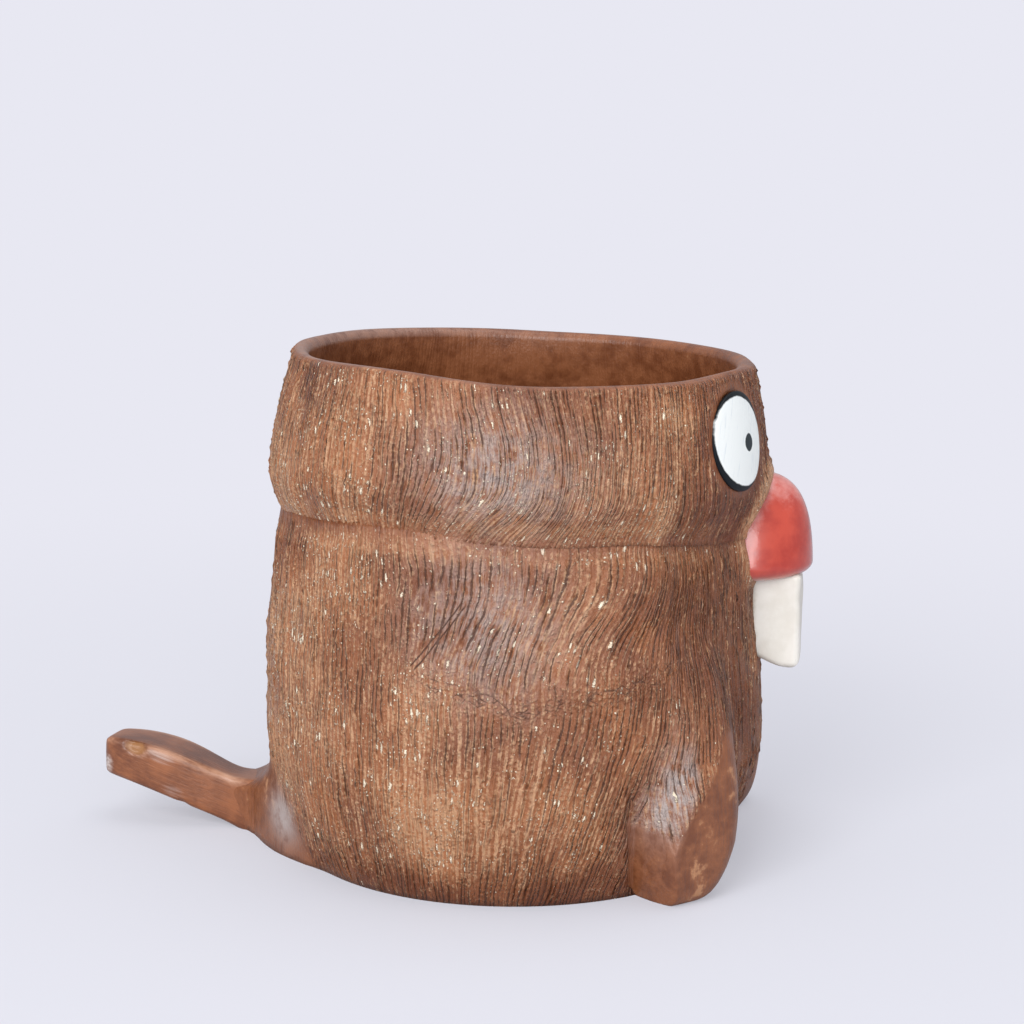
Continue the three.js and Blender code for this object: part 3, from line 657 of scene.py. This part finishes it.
def leg_sheen(off, height):
    """Painted grey sheen on the combed side of a foreleg, where the varnish would reflect the lamps."""
    ridge = leg_ridge(height)
    return 1.3 * bell(height, 31, 13) * bell(off, ridge + 2.5, 4.5) * ease(off, ridge - 2, ridge)


def crumbs(rng, shape):
    """Crumbs of clay torn up by the tool, 0 to 1, on a grid that closes round."""
    grain = rng.random(shape)
    grain = (grain + np.roll(grain, 1, axis=1) + np.roll(grain, 2, axis=1)) / 3
    return ease(grain, 0.72, 0.92)


def body_wall():
    rng = np.random.default_rng(11)
    start = np.linspace(-180, 180, COLUMNS, endpoint=False)
    heights = np.linspace(0, NECK_HEIGHT, 48)
    turn = comb_columns(start, heights, body_lean)
    angle = np.abs(turn)
    z = np.repeat(heights[:, None], COLUMNS, axis=1)
    radius = radius_on(BODY_LINE, z) - (0.75 + 0.4 * bell(angle, 88, 12)) * ease(z, 90, NECK_HEIGHT)
    step = heights[1]
    column = 2 * math.pi * 70 / COLUMNS
    groove, burr = combing(rng, z.shape, column, step, 520, (16, 50), (0.3, 0.9), 1.7)
    deep, deep_burr = combing(rng, z.shape, column, step, 110, (14, 40), (0.75, 1), 3)
    groove = np.maximum(groove * 0.8, deep)
    burr = np.maximum(burr, deep_burr)
    gap = nose_gap(turn, z, radius)
    knot = crease_knot(angle, z)
    flare = tail_flare(angle, z, radius)
    collar = ease(flare, 0.2, 1.6)
    ragged = lumps(rng, 3 * np.radians(turn), z, 1.2)
    neck = 0.4 * ease(z + ragged, 93, 96.5)
    bare = np.maximum(collar, neck)
    # Painted grey sheen: a patch by the tail's root, and a broad patch high on the middle of each side where the
    # varnish would reflect the lamps.
    painted_sheen = 1.5 * bell(turn, -153, 6) * bell(z, 12, 7) + 0.75 * bell(angle, 88, 16) * bell(z, 76, 20)
    legs = np.zeros_like(z)
    crease = np.zeros_like(z)
    for middle in LEG_ANGLES.values():
        off = (turn - middle) * (1 if middle > 0 else -1)
        stand = leg_stand(off, z, radius, 0)
        legs += stand * ease(z, 16, 38)
        crease += bell(off, leg_crease(z) + 0.9, 1.3) * (1 - ease(z, 20, 36))
        bare = np.maximum(bare, leg_bare(off, z, ragged) * ease(stand, 1, 3))
        painted_sheen += leg_sheen(off, z)
    quiet = (1 - 0.8 * ease(-gap, -4, 0)) * (1 - 0.6 * knot) * (1 - bare)
    torn = crumbs(rng, z.shape)
    burr = np.maximum(burr, torn)
    relief = (0.3 * burr + 0.35 * torn - 0.6 * groove) * quiet + 0.4 * torn * knot + lumps(rng, np.radians(turn), z, 0.35) * (1 - ease(z, 86, 95))
    relief += 1.7 * bell(gap, 0, 3.2) * ease(z, 79, 84)
    above = z - crease_height(angle)
    shelf = ease(angle, 36, 50) * (1 - ease(angle, 96, 112))
    relief += 0.7 * shelf * ease(above, -2, 1.5) * (1 - ease(above, 2, 16))
    relief += 0.6 * bell(angle, 165, 25) * bell(z, 66, 16)
    relief += legs - 2.8 * crease
    # The crease behind each foreleg joins the groove mark, so it is painted dark: painted shade in the crease.
    groove = np.maximum(groove, 3 * crease)
    relief -= 1.6 * (1 - ease(angle, 14, 27)) * (1 - ease(z, 14, 30))
    outer = np.stack([radius + flare + relief * ease(z, -0.5, 4), turn, z], axis=2)

    inner = smooth_line(BODY_INSIDE, 4)
    rest = np.array([(66.85, 99.3), *inner, (57.8, 0)])
    liner = np.zeros((len(rest), COLUMNS, 3))
    liner[:, :, 0] = rest[:, :1]
    liner[:, :, 1] = turn[-1]
    liner[:, :, 2] = rest[:, 1:]
    form = np.concatenate([outer, liner])
    form[:, :, 2] += round_curve(GROOVE_DRIFT, form[:, :, 1]) * form[:, :, 2] / NECK_HEIGHT
    bearing = np.radians(form[:, :, 1])
    x = form[:, :, 0] * np.cos(bearing)
    y = form[:, :, 0] * np.sin(bearing)
    up = form[:, :, 2] - x * math.tan(HEAD_NOD) * form[:, :, 2] / NECK_HEIGHT
    blank = np.zeros((len(rest), COLUMNS))
    wear_and_shade = wear_and_shade_body(angle, z) + 0.8 * bell(gap, 0, 4) * ease(z, 79, 84) + 0.3 * bell(z, 93.5, 2)
    # Painted shade: the stain is darkened towards the foot, next to the table.
    wear_and_shade += 0.15 * lumps(rng, np.radians(turn), z, 1) - 0.45 * (1 - ease(z, 2, 13))
    knot = np.maximum(knot, 0.6 * bell(z, 95.5, 1.8))
    marks = {"groove": np.vstack([groove * quiet, blank]), "ridge": np.vstack([burr * quiet, blank]),
             "smooth": np.vstack([bare, blank + 1]), "wear_and_shade": np.vstack([wear_and_shade.clip(0, 1), blank]),
             "painted_sheen": np.vstack([painted_sheen, blank]), "knot": np.vstack([knot, blank])}
    piece = wrapped_grid("body_wall_fur", np.stack([x, y, up], axis=2), marks, True, column)
    dress(piece, "body_wall", FUR)


def head_place(x, y, rise):
    """Points of the nodding head in the pot's frame."""
    level = x * math.cos(HEAD_NOD) + rise * math.sin(HEAD_NOD) + HEAD_FORWARD
    up = rise * math.cos(HEAD_NOD) - x * math.sin(HEAD_NOD)
    return np.stack([level, y, up + NECK_HEIGHT - HEAD_FORWARD * math.tan(HEAD_NOD)], axis=-1)


def eye_share(turn, rise):
    """How far a point of the head is from the middle of its eye, 1 at the eye's edge."""
    across = np.radians(np.abs(turn) - EYE_ANGLE) * 69.2 / EYE_HALF[0]
    return np.hypot(across, (rise - EYE_RISE) / EYE_HALF[1] / math.cos(EYE_LEAN))


def wear_and_shade_head(angle, rise):
    """Where the stain is rubbed thin on the head band, by angle from the front, with painted shade that darkens it
    towards the front.
    """
    wear_and_shade = 0.4 + 0.35 * bell(angle, 150, 20) * bell(rise, 16, 16) + 0.3 * bell(angle, 78, 20) * bell(rise, 20, 16)
    wear_and_shade += 0.5 * bell(angle, 44, 7) * bell(rise, 36, 5) + 0.5 * bell(angle, 49, 3) * bell(rise, 6, 8)
    # Painted shade towards the front, where the band turns away from the lamps.
    return wear_and_shade - 0.35 * bell(angle, 20, 26)


def head_band():
    rng = np.random.default_rng(23)
    start = np.linspace(-180, 180, COLUMNS, endpoint=False)
    rises = np.concatenate([np.linspace(-0.4, 42.4, 37), [point[1] for point in LIP_LINE[:3]]])
    turn = comb_columns(start, rises, head_lean)
    angle = np.abs(turn)
    rise = np.repeat(rises[:, None], COLUMNS, axis=1)
    radius = radius_on(HEAD_LINE + LIP_LINE[:3], rise)
    radius -= 0.3 * bell(angle, 88, 12) * (1 - ease(rise, -0.4, 2.4))
    step = rises[1] - rises[0]
    column = 2 * math.pi * 70 / COLUMNS
    groove, burr = combing(rng, rise.shape, column, step, 330, (14, 46), (0.3, 0.9), 1.7)
    deep, deep_burr = combing(rng, rise.shape, column, step, 80, (12, 36), (0.75, 1), 3)
    groove = np.maximum(groove * 0.8, deep)
    burr = np.maximum(burr, deep_burr)
    eye = eye_share(turn, rise)
    gap = nose_gap(turn, rise + NECK_HEIGHT - 2.5, radius)
    neck = 0.4 * (1 - ease(rise + lumps(rng, 3 * np.radians(turn), rise, 1.2), 0.5, 3.6))
    quiet = ease(eye, 1.03, 1.25) * (1 - 0.8 * ease(-gap, -4, 0)) * (1 - ease(rise, 43.6, 44.8)) * (1 - neck)
    torn = crumbs(rng, rise.shape)
    burr = np.maximum(burr, torn)
    relief = (0.3 * burr + 0.35 * torn - 0.6 * groove) * quiet + lumps(rng, np.radians(turn), rise, 0.35) * ease(rise, 1, 9)
    relief += 1.7 * bell(gap, 0, 3.2) - 1.2 * (1 - ease(eye, 0.86, 0.98))
    relief += 0.6 * bell(angle, 48, 1.6) * (1 - ease(rise, 8, 20))
    outer = np.stack([radius + relief, turn, rise], axis=2)

    rest = np.vstack([LIP_LINE[3:], smooth_line(HEAD_INSIDE, 6), [(65.4, -0.6)]])
    liner = np.zeros((len(rest), COLUMNS, 3))
    liner[:, :, 0] = rest[:, :1] + lumps(rng, np.radians(turn[-1:]), rest[:, 1:], 0.3)
    liner[:, :, 1] = turn[-1]
    liner[:, :, 2] = rest[:, 1:]
    form = np.concatenate([outer, liner])
    share = form[:, :, 2] / RIM_RISE
    form[:, :, 2] += round_curve(GROOVE_DRIFT, form[:, :, 1]) * (1 - share)
    form[:, :, 2] += round_curve(RIM_DRIFT, form[:, :, 1]) * share
    bearing = np.radians(form[:, :, 1])
    spots = head_place(form[:, :, 0] * np.cos(bearing), form[:, :, 0] * np.sin(bearing), form[:, :, 2])
    blank = np.zeros((len(rest), COLUMNS))
    wear_and_shade = wear_and_shade_head(angle, rise) + 0.8 * bell(gap, 0, 4) + 0.15 * lumps(rng, np.radians(turn), rise, 1)
    wear_and_shade += 0.3 * bell(rise, 4.5, 2)
    # Painted grey sheen on the middle of the band and on the back of the lip, where the varnish would reflect the
    # lamps.
    sheen = 0.95 * bell(angle, 86, 18) * bell(rise, 21, 17)
    lip_sheen = np.where(rest[:, 1:] > 43, 0.35, 0) * bell(angle[-1:], 150, 45)
    bare = np.maximum(np.maximum(ease(rise, 44, 45), neck), 1 - ease(eye, 1.03, 1.22))
    marks = {"groove": np.vstack([groove * quiet, blank]), "ridge": np.vstack([np.maximum(burr * quiet, bell(gap, 1, 3)), blank]),
             "smooth": np.vstack([bare, blank + 1]), "wear_and_shade": np.vstack([wear_and_shade.clip(0, 1), blank]),
             "painted_sheen": np.vstack([sheen, lip_sheen]), "knot": np.vstack([0.6 * bell(rise, 1.4, 1.8), blank])}
    piece = wrapped_grid("head_band_fur", spots, marks, True, column)
    dress(piece, "head_band", FUR)


def foreleg(node):
    """Leg with a furred side and a smooth front that swells into the paw; its top runs into the wall."""
    turn = math.radians(LEG_ANGLES[node])
    mirror = -1 if turn < 0 else 1
    rng = np.random.default_rng(31 + mirror)
    across = np.concatenate([np.linspace(-20, 17, 230), np.linspace(17, -20, 16)[1:-1]])
    hidden = np.arange(len(across)) >= 230
    heights = np.concatenate([np.linspace(LEG_TOP - 7, 6, 84), [4.5, 3.2, 2, 1, 0.4, 0]])
    z = np.repeat(heights[:, None], len(across), axis=1)
    off = across * leg_width(z)
    wall = radius_on(BODY_LINE, z)
    stand = leg_stand(off, z, wall, PAW_TAPER[node])
    stand -= 1.5 * (1 - ease(stand, 0.2, 1.8)) + 0.8 * ease(z, 34, 46)

    groove, burr = combing(rng, z.shape, 0.2, 0.9, 150, (14, 40), (0.2, 0.6), 1.4)
    smooth = leg_bare(off, z, lumps(rng, off * 0.3, z * 3, 1.2))
    stand += (0.25 * burr - 0.5 * groove) * (1 - smooth) + lumps(rng, np.radians(off) * 2, z, 0.15)
    radius = np.where(hidden, wall - 3.2, wall + stand)
    bearing = turn + mirror * np.radians(off)
    spots = np.stack([radius * np.cos(bearing), radius * np.sin(bearing), z], axis=2)
    cap = np.tile([68 * math.cos(turn), 68 * math.sin(turn), 0], (1, len(across), 1))
    spots = np.concatenate([spots, cap])
    wear_and_shade = 0.25 + 0.2 * bell(z, 30, 12) + 0.75 * bell(z, 11, 3) * bell(off, 4, 2.5) + 0.6 * bell(z, 4, 2) * bell(off, 3, 2)
    # Painted grey sheen on the combed side, less on the smooth paw.
    painted_sheen = leg_sheen(off, z) * (1 - 0.6 * smooth)
    marks = {"groove": groove * (1 - smooth), "ridge": burr * (1 - smooth), "smooth": smooth, "wear_and_shade": wear_and_shade,
             "painted_sheen": painted_sheen, "knot": 0 * z}
    marks = {key: np.concatenate([value, value[-1:]]) for key, value in marks.items()}
    piece = wrapped_grid(node + "_fur", spots, marks, False, 0.2)
    dress(piece, node, FUR)


def pick(piece, test):
    """Selects a piece's points by a test of their place in millimetres, in edit mode."""
    bpy.ops.mesh.select_all(action="DESELECT")
    shape = bmesh.from_edit_mesh(piece.data)
    for point in shape.verts:
        point.select = bool(test(point.co / MM))
    shape.select_flush(True)
    bmesh.update_edit_mesh(piece.data)


def refine(piece, levels):
    """Rounds a piece with subdivision and goes back to edit mode with all selected."""
    bpy.ops.object.mode_set(mode="OBJECT")
    soft = piece.modifiers.new("soft", "SUBSURF")
    soft.levels = soft.render_levels = levels
    bpy.ops.object.modifier_apply(modifier="soft")
    bpy.ops.object.mode_set(mode="EDIT")
    bpy.ops.mesh.select_all(action="SELECT")


def places(piece):
    spots = np.empty(3 * len(piece.data.vertices))
    piece.data.vertices.foreach_get("co", spots)
    return spots.reshape(-1, 3) / MM


def close_up(piece):
    """Merges doubles, turns faces outwards and smooths a finished piece."""
    bpy.ops.object.mode_set(mode="EDIT")
    bpy.ops.mesh.select_all(action="SELECT")
    bpy.ops.mesh.remove_doubles(threshold=1e-6)
    bpy.ops.mesh.normals_make_consistent(inside=False)
    bpy.ops.object.mode_set(mode="OBJECT")
    bpy.ops.object.shade_smooth_by_angle(angle=math.radians(50))


def tail_root(radius):
    """How much thicker the tail is at its root, where its top runs level into the wall."""
    return max(0, 83.5 - radius) * TAIL_SLOPE


def tail_height(radius):
    beyond = max(0, radius - TAIL_MIDDLE)
    slope = TAIL_MIDDLE_HEIGHT + (radius - TAIL_MIDDLE) * TAIL_SLOPE - 0.0072 * beyond ** 2
    return slope + tail_root(radius) / 2


def tail_thick(radius):
    return 14.6 + tail_root(radius) - 0.0055 * max(0, radius - TAIL_MIDDLE) ** 2


def tail():
    """Paddle drawn out of a block section by section, its edges rounded and its foot cut level."""
    radius, half = TAIL_STATIONS[0]
    bpy.ops.object.select_all(action="DESELECT")
    bpy.ops.mesh.primitive_cube_add(size=MM, location=(-(radius - 0.5) * MM, 0, tail_height(radius) * MM))
    bpy.ops.object.transform_apply(location=True)
    piece = bpy.context.object
    piece.name = piece.data.name = "tail_paddle"
    bpy.ops.object.mode_set(mode="EDIT")
    bpy.ops.mesh.select_all(action="SELECT")
    bpy.ops.transform.resize(value=(8, 2 * half, tail_thick(radius)),
                             center_override=(-radius * MM, 0, tail_height(radius) * MM))
    pick(piece, lambda spot: spot.x < -radius + 0.1)
    for (before, wide), (after, narrow) in zip(TAIL_STATIONS, TAIL_STATIONS[1:]):
        rise = tail_height(after) - tail_height(before)
        bpy.ops.mesh.extrude_region_move(
            TRANSFORM_OT_translate={"value": ((before - after) * MM, 0, rise * MM)})
        bpy.ops.transform.resize(value=(1, narrow / wide, tail_thick(after) / tail_thick(before)),
                                 center_override=(-after * MM, 0, tail_height(after) * MM))
    bpy.ops.object.mode_set(mode="OBJECT")
    edge = piece.modifiers.new("thumbed_edge", "BEVEL")
    edge.width, edge.segments, edge.angle_limit = 2.2 * MM, 3, math.radians(40)
    bpy.ops.object.modifier_apply(modifier="thumbed_edge")
    refine(piece, 3)
    bpy.ops.transform.rotate(value=TAIL_ROLL, orient_axis="X", center_override=(0, 0, TAIL_MIDDLE_HEIGHT * MM))
    bpy.ops.mesh.select_all(action="SELECT")
    bpy.ops.mesh.bisect(plane_co=(0, 0, 0), plane_no=(0, 0, 1), use_fill=True, clear_inner=True)
    bpy.ops.object.mode_set(mode="OBJECT")

    # Wear and painted sheen by the place across and up each section.
    spots = places(piece)
    radius = -spots[:, 0]
    half = np.interp(radius, *zip(*TAIL_STATIONS))
    above = spots[:, 2] - np.array([tail_height(r) for r in radius]) + spots[:, 1] * math.tan(TAIL_ROLL)
    above /= np.array([tail_thick(r) for r in radius]) / 2
    beside = np.abs(spots[:, 1]) / half
    edge = ease(above, 0.55, 0.95) * ease(beside, 0.6, 0.9) * ease(radius, 76, 84)
    near = spots[:, 1] < 0
    chip = near * bell(radius, 112.5, 4.4) * bell(above, 0.72, 0.42) * ease(beside, 0.6, 0.8)
    edge = np.maximum(edge, ease(chip, 0.25, 0.5))
    chip = ease(chip, 0.5, 0.75)
    # Painted sheen along the near top edge and low on the near side, and a painted highlight on the end of the tip.
    painted_sheen = near * (0.85 * bell(radius, 105, 5) * bell(above, 0.65, 0.3) * ease(beside, 0.8, 0.95)
                    + 1.0 * bell(radius, 121.5, 2) * bell(above, -0.4, 0.5)
                    + 0.5 * bell(radius, 101, 5) * bell(above, -0.6, 0.35))
    for name, value in (("edge", edge), ("chip", chip), ("painted_sheen", painted_sheen)):
        piece.data.attributes.new(name, "FLOAT", "POINT").data.foreach_set("value", value.clip(0, 1))
    dent = 0.9 * chip + 0.9 * near * bell(radius, 98, 1.4) * ease(-above, 0.7, 0.95)
    spots[:, 1] += dent
    spots[:, 2] -= 0.6 * chip
    piece.data.vertices.foreach_set("co", (spots * MM).ravel())
    close_up(piece)
    dress(piece, "tail", SMOOTH_CLAY)


def nose():
    """Dome with a low full waist and a flat underside, pressed onto the wall."""
    rings = 22
    bpy.ops.object.select_all(action="DESELECT")
    bpy.ops.mesh.primitive_uv_sphere_add(segments=36, ring_count=rings, radius=MM)
    piece = bpy.context.object
    piece.name = piece.data.name = "nose_dome"
    bpy.ops.object.mode_set(mode="EDIT")
    bpy.ops.mesh.select_mode(type="VERT")
    depth = NOSE_REACH - NOSE_ROOT
    for ring in range(rings + 1):
        high = math.cos(math.pi * ring / rings)
        wide = max(math.sin(math.pi * ring / rings), 1e-6)
        share = wide ** (0.55 if high > 0 else 0.45) / wide
        slim = 1 - 0.42 * high ** 1.3 if high > 0 else 1
        up = NOSE_FULL + (high ** 0.85 * (NOSE_TOP - NOSE_FULL) if high > 0 else high * (NOSE_FULL - NOSE_BASE))
        pick(piece, lambda spot: abs(spot.z - high) < 1e-3)
        bpy.ops.transform.resize(value=(share * depth, share * slim * NOSE_WIDTH / 2, 1),
                                 center_override=(0, 0, high * MM))
        bpy.ops.transform.translate(value=(NOSE_ROOT * MM, 0, (up + 10 - high) * MM))
    bpy.ops.mesh.select_all(action="SELECT")
    bpy.ops.transform.translate(value=(0, 0, -10 * MM))
    refine(piece, 2)
    bpy.ops.mesh.bisect(plane_co=(66 * MM, 0, 92 * MM), plane_no=(0.994, 0, -0.11), use_fill=True, clear_inner=True)
    bpy.ops.object.mode_set(mode="OBJECT")
    spots = places(piece)
    rng = np.random.default_rng(41)
    swell = 1 + lumps(rng, np.arctan2(spots[:, 1], spots[:, 0] - NOSE_ROOT) * 0.4, spots[:, 2], 0.012)
    spots[:, 0] = NOSE_ROOT + (spots[:, 0] - NOSE_ROOT) * swell
    piece.data.vertices.foreach_set("co", (spots * MM).ravel())
    # A painted pink sheen over the top of the nose and on its side by the wall.
    sheen_and_tint = 0.6 * ease(spots[:, 2], 91, 110) + 0.5 * (1 - ease(spots[:, 0], 67, 74)) * ease(spots[:, 2], 86, 100)
    piece.data.attributes.new("sheen_and_tint", "FLOAT", "POINT").data.foreach_set("value", sheen_and_tint)
    close_up(piece)
    dress(piece, "nose", RED)


def incisor(node):
    """Slab tooth with a slanted back corner and edges rounded by the paint."""
    side = -1 if node == "right_incisor" else 1
    long, tall = TOOTH_REACH - TOOTH_BACK, TOOTH_TOP - TOOTH_TIP
    middle = ((TOOTH_BACK + long / 2) * MM, side * (TOOTH_WIDTH + TOOTH_SPLIT) / 2 * MM, (TOOTH_TIP + tall / 2) * MM)
    bpy.ops.object.select_all(action="DESELECT")
    bpy.ops.mesh.primitive_cube_add(size=MM, location=middle)
    bpy.ops.object.transform_apply(location=True)
    piece = bpy.context.object
    piece.name = piece.data.name = node + "_slab"
    bpy.ops.object.mode_set(mode="EDIT")
    bpy.ops.mesh.select_all(action="SELECT")
    bpy.ops.transform.resize(value=(long, TOOTH_WIDTH, tall), center_override=middle)
    slant = math.atan2(6, 77.5 - 63.8)
    bpy.ops.mesh.bisect(plane_co=(77 * MM, 0, TOOTH_TIP * MM), plane_no=(math.sin(slant), 0, math.cos(slant)),
                        use_fill=True, clear_inner=True)
    bpy.ops.object.mode_set(mode="OBJECT")
    edge = piece.modifiers.new("painted_edge", "BEVEL")
    edge.width, edge.segments, edge.limit_method = 2.2 * MM, 4, "NONE"
    bpy.ops.object.modifier_apply(modifier="painted_edge")
    refine(piece, 2)
    bpy.ops.mesh.subdivide(number_cuts=1, smoothness=0)
    bpy.ops.object.mode_set(mode="OBJECT")
    spots = places(piece)
    rng = np.random.default_rng(43 + side)
    out = spots[:, 1] - side * (TOOTH_WIDTH + TOOTH_SPLIT) / 2
    spots[:, 1] += np.sign(out) * (side * out > 0) * lumps(rng, spots[:, 0] * 0.08, spots[:, 2], 0.2)
    spots[:, 0] += lumps(rng, spots[:, 2] * 0.05, spots[:, 1], 0.15) * (spots[:, 0] > 72)
    round_off = np.stack([spots[:, 0] - (TOOTH_REACH - 3.6), TOOTH_TIP + 3.6 - spots[:, 2]], axis=1) / 3.6
    far = np.where((round_off > 0).all(axis=1), np.maximum(np.linalg.norm(round_off, axis=1), 1), 1)
    spots[:, 0] -= np.where(far > 1, 3.6 * round_off[:, 0] * (1 - 1 / far), 0)
    spots[:, 2] += np.where(far > 1, 3.6 * round_off[:, 1] * (1 - 1 / far), 0)
    piece.data.vertices.foreach_set("co", (spots * MM).ravel())
    # The tooth goes darker grey-brown towards its tip and towards its back by the wall.
    sheen_and_tint = 0.35 * (1 - ease(spots[:, 2], TOOTH_TIP, TOOTH_TIP + 5)) + 0.45 * (1 - ease(spots[:, 0], 69, 72.5))
    piece.data.attributes.new("sheen_and_tint", "FLOAT", "POINT").data.foreach_set("value", sheen_and_tint)
    close_up(piece)
    dress(piece, node, CREAM)


def eye(node):
    """Oval disc with a low dome, let into the wall and bent to it, the map laid flat on its face."""
    side = -1 if node == "right_eye" else 1
    bpy.ops.object.select_all(action="DESELECT")
    bpy.ops.mesh.primitive_cylinder_add(vertices=64, radius=EYE_HALF[1] * MM, depth=2.6 * MM, location=(0, 0, -MM))
    bpy.ops.object.transform_apply(location=True)
    piece = bpy.context.object
    piece.name = piece.data.name = node + "_disc"
    bpy.ops.object.mode_set(mode="EDIT")
    bpy.ops.mesh.select_mode(type="FACE")
    bpy.ops.mesh.select_all(action="SELECT")
    bpy.ops.transform.resize(value=(EYE_HALF[0] / EYE_HALF[1], 1, 1), center_override=(0, 0, 0))
    pick(piece, lambda spot: spot.z > 0)
    for inward, rise in ((0.35, 0.12), (0.5, 0.12), (1.2, 0.1), (3.5, 0.2), (3.5, 0.12), (2, 0.05)):
        bpy.ops.mesh.inset(thickness=inward * MM, depth=rise * MM)
    refine(piece, 2)
    bpy.ops.object.mode_set(mode="OBJECT")
    spots = places(piece)
    mesh = piece.data
    corners = np.empty(len(mesh.loops), int)
    mesh.loops.foreach_get("vertex_index", corners)
    sheet = spots[:, :2] * (-side, 1) / EYE_SHEET + 0.5
    mesh.uv_layers[0].name = WALL_MAP
    mesh.uv_layers[0].data.foreach_set("uv", sheet[corners].ravel())
    spots[:, 2] -= 0.8 * spots[:, 0] ** 2 / (2 * 69.2)

    turn = math.radians(side * EYE_ANGLE)
    out = np.array([math.cos(turn) * math.cos(EYE_LEAN), math.sin(turn) * math.cos(EYE_LEAN), math.sin(EYE_LEAN)])
    across = np.array([-math.sin(turn), math.cos(turn), 0])
    radius = radius_on(HEAD_LINE, EYE_RISE)
    middle = np.array([math.cos(turn) * radius, math.sin(turn) * radius, EYE_RISE])
    spots = middle + spots @ np.array([across, np.cross(out, across), out])
    mesh.vertices.foreach_set("co", (head_place(*spots.T) * MM).ravel())
    close_up(piece)
    dress(piece, node, WHITE)


body_wall()
head_band()
for leg in LEG_ANGLES:
    foreleg(leg)
tail()
nose()
for tooth in ("right_incisor", "left_incisor"):
    incisor(tooth)
for disc in ("right_eye", "left_eye"):
    eye(disc)
slab = frame["nodes"]["base_slab"].data
slab.materials.clear()
slab.materials.append(CLAY)


# Stage, light and camera

CLOTH = "c5c6cd"
BACKDROP = "e8e8f2"


def stage():
    """Pale cloth on the table, which far off fades into the even backdrop."""
    bpy.ops.object.select_all(action="DESELECT")
    bpy.ops.mesh.primitive_plane_add(size=20)
    cloth = bpy.context.object
    cloth.name = "cloth"
    material, tree = finish_named("pale_cotton_cloth")
    place = add(tree, "TexCoord", {}, {})["Object"]
    far = add(tree, "VectorMath", {"operation": "LENGTH"}, {0: place})["Value"]
    far = add(tree, "MapRange", {"interpolation_type": "SMOOTHSTEP"}, {"Value": far, "From Min": -0.35, "From Max": 0.6})[0]
    ray = add(tree, "LightPath", {}, {})["Is Camera Ray"]
    far = add(tree, "Math", {"operation": "MULTIPLY"}, {0: far, 1: ray})[0]
    cotton = add(tree, "BsdfPrincipled", {}, {"Base Color": colour(CLOTH), "Roughness": 0.9})[0]
    glow = add(tree, "Emission", {}, {"Color": colour(BACKDROP)})[0]
    surface = add(tree, "MixShader", {}, {0: far, 1: cotton, 2: glow})[0]
    add(tree, "OutputMaterial", {}, {"Surface": surface})
    cloth.data.materials.append(material)


def world():
    back = bpy.data.worlds.new("studio")
    back.use_nodes = True
    tree = back.node_tree
    tree.nodes.clear()
    ray = add(tree, "LightPath", {}, {})
    light = add(tree, "Background", {}, {"Color": colour("f1f3fa"), "Strength": 0.72})[0]
    seen = add(tree, "Background", {}, {"Color": colour(BACKDROP), "Strength": 1.0})[0]
    surface = add(tree, "MixShader", {}, {0: ray["Is Camera Ray"], 1: light, 2: seen})[0]
    add(tree, "OutputWorld", {}, {"Surface": surface})
    bpy.context.scene.world = back


def lamp(name, spot, aim, size, power, tint):
    bpy.ops.object.light_add(type="AREA", location=spot)
    light = bpy.context.object
    light.name = name
    light.data.shape = "RECTANGLE"
    light.data.size, light.data.size_y = size
    light.data.energy = power
    light.data.color = colour(tint)[:3]
    way = np.array(aim) - np.array(spot)
    light.rotation_euler = (math.acos(-way[2] / np.linalg.norm(way)), 0, math.atan2(-way[0], way[1]))


def camera():
    turn = math.radians(8.5)
    far = 0.650
    bpy.ops.object.camera_add(location=(far * math.sin(turn), -far * math.cos(turn), 0.21587),
                              rotation=(math.radians(90 - 10.459), 0, turn))
    eye = bpy.context.object
    eye.data.sensor_width = 36
    eye.data.lens = 36 * 2298.1 / 1024
    eye.data.shift_x = -2.55 / 1024
    eye.data.clip_start = 0.01
    bpy.context.scene.camera = eye


stage()
world()
lamp("window", (-0.4, -1.38, 0.98), (0, 0, 0.08), (0.9, 0.9), 21.5, "ffffff")
lamp("ceiling", (0.25, 0.05, 1.5), (0, 0, 0.08), (1.0, 1.0), 7, "ffffff")
lamp("reflector", (0.45, -1.3, 0.42), (0, 0, 0.08), (0.3, 0.8), 5.5, "ffffff")
camera()
bpy.context.scene.view_settings.view_transform = "Standard"
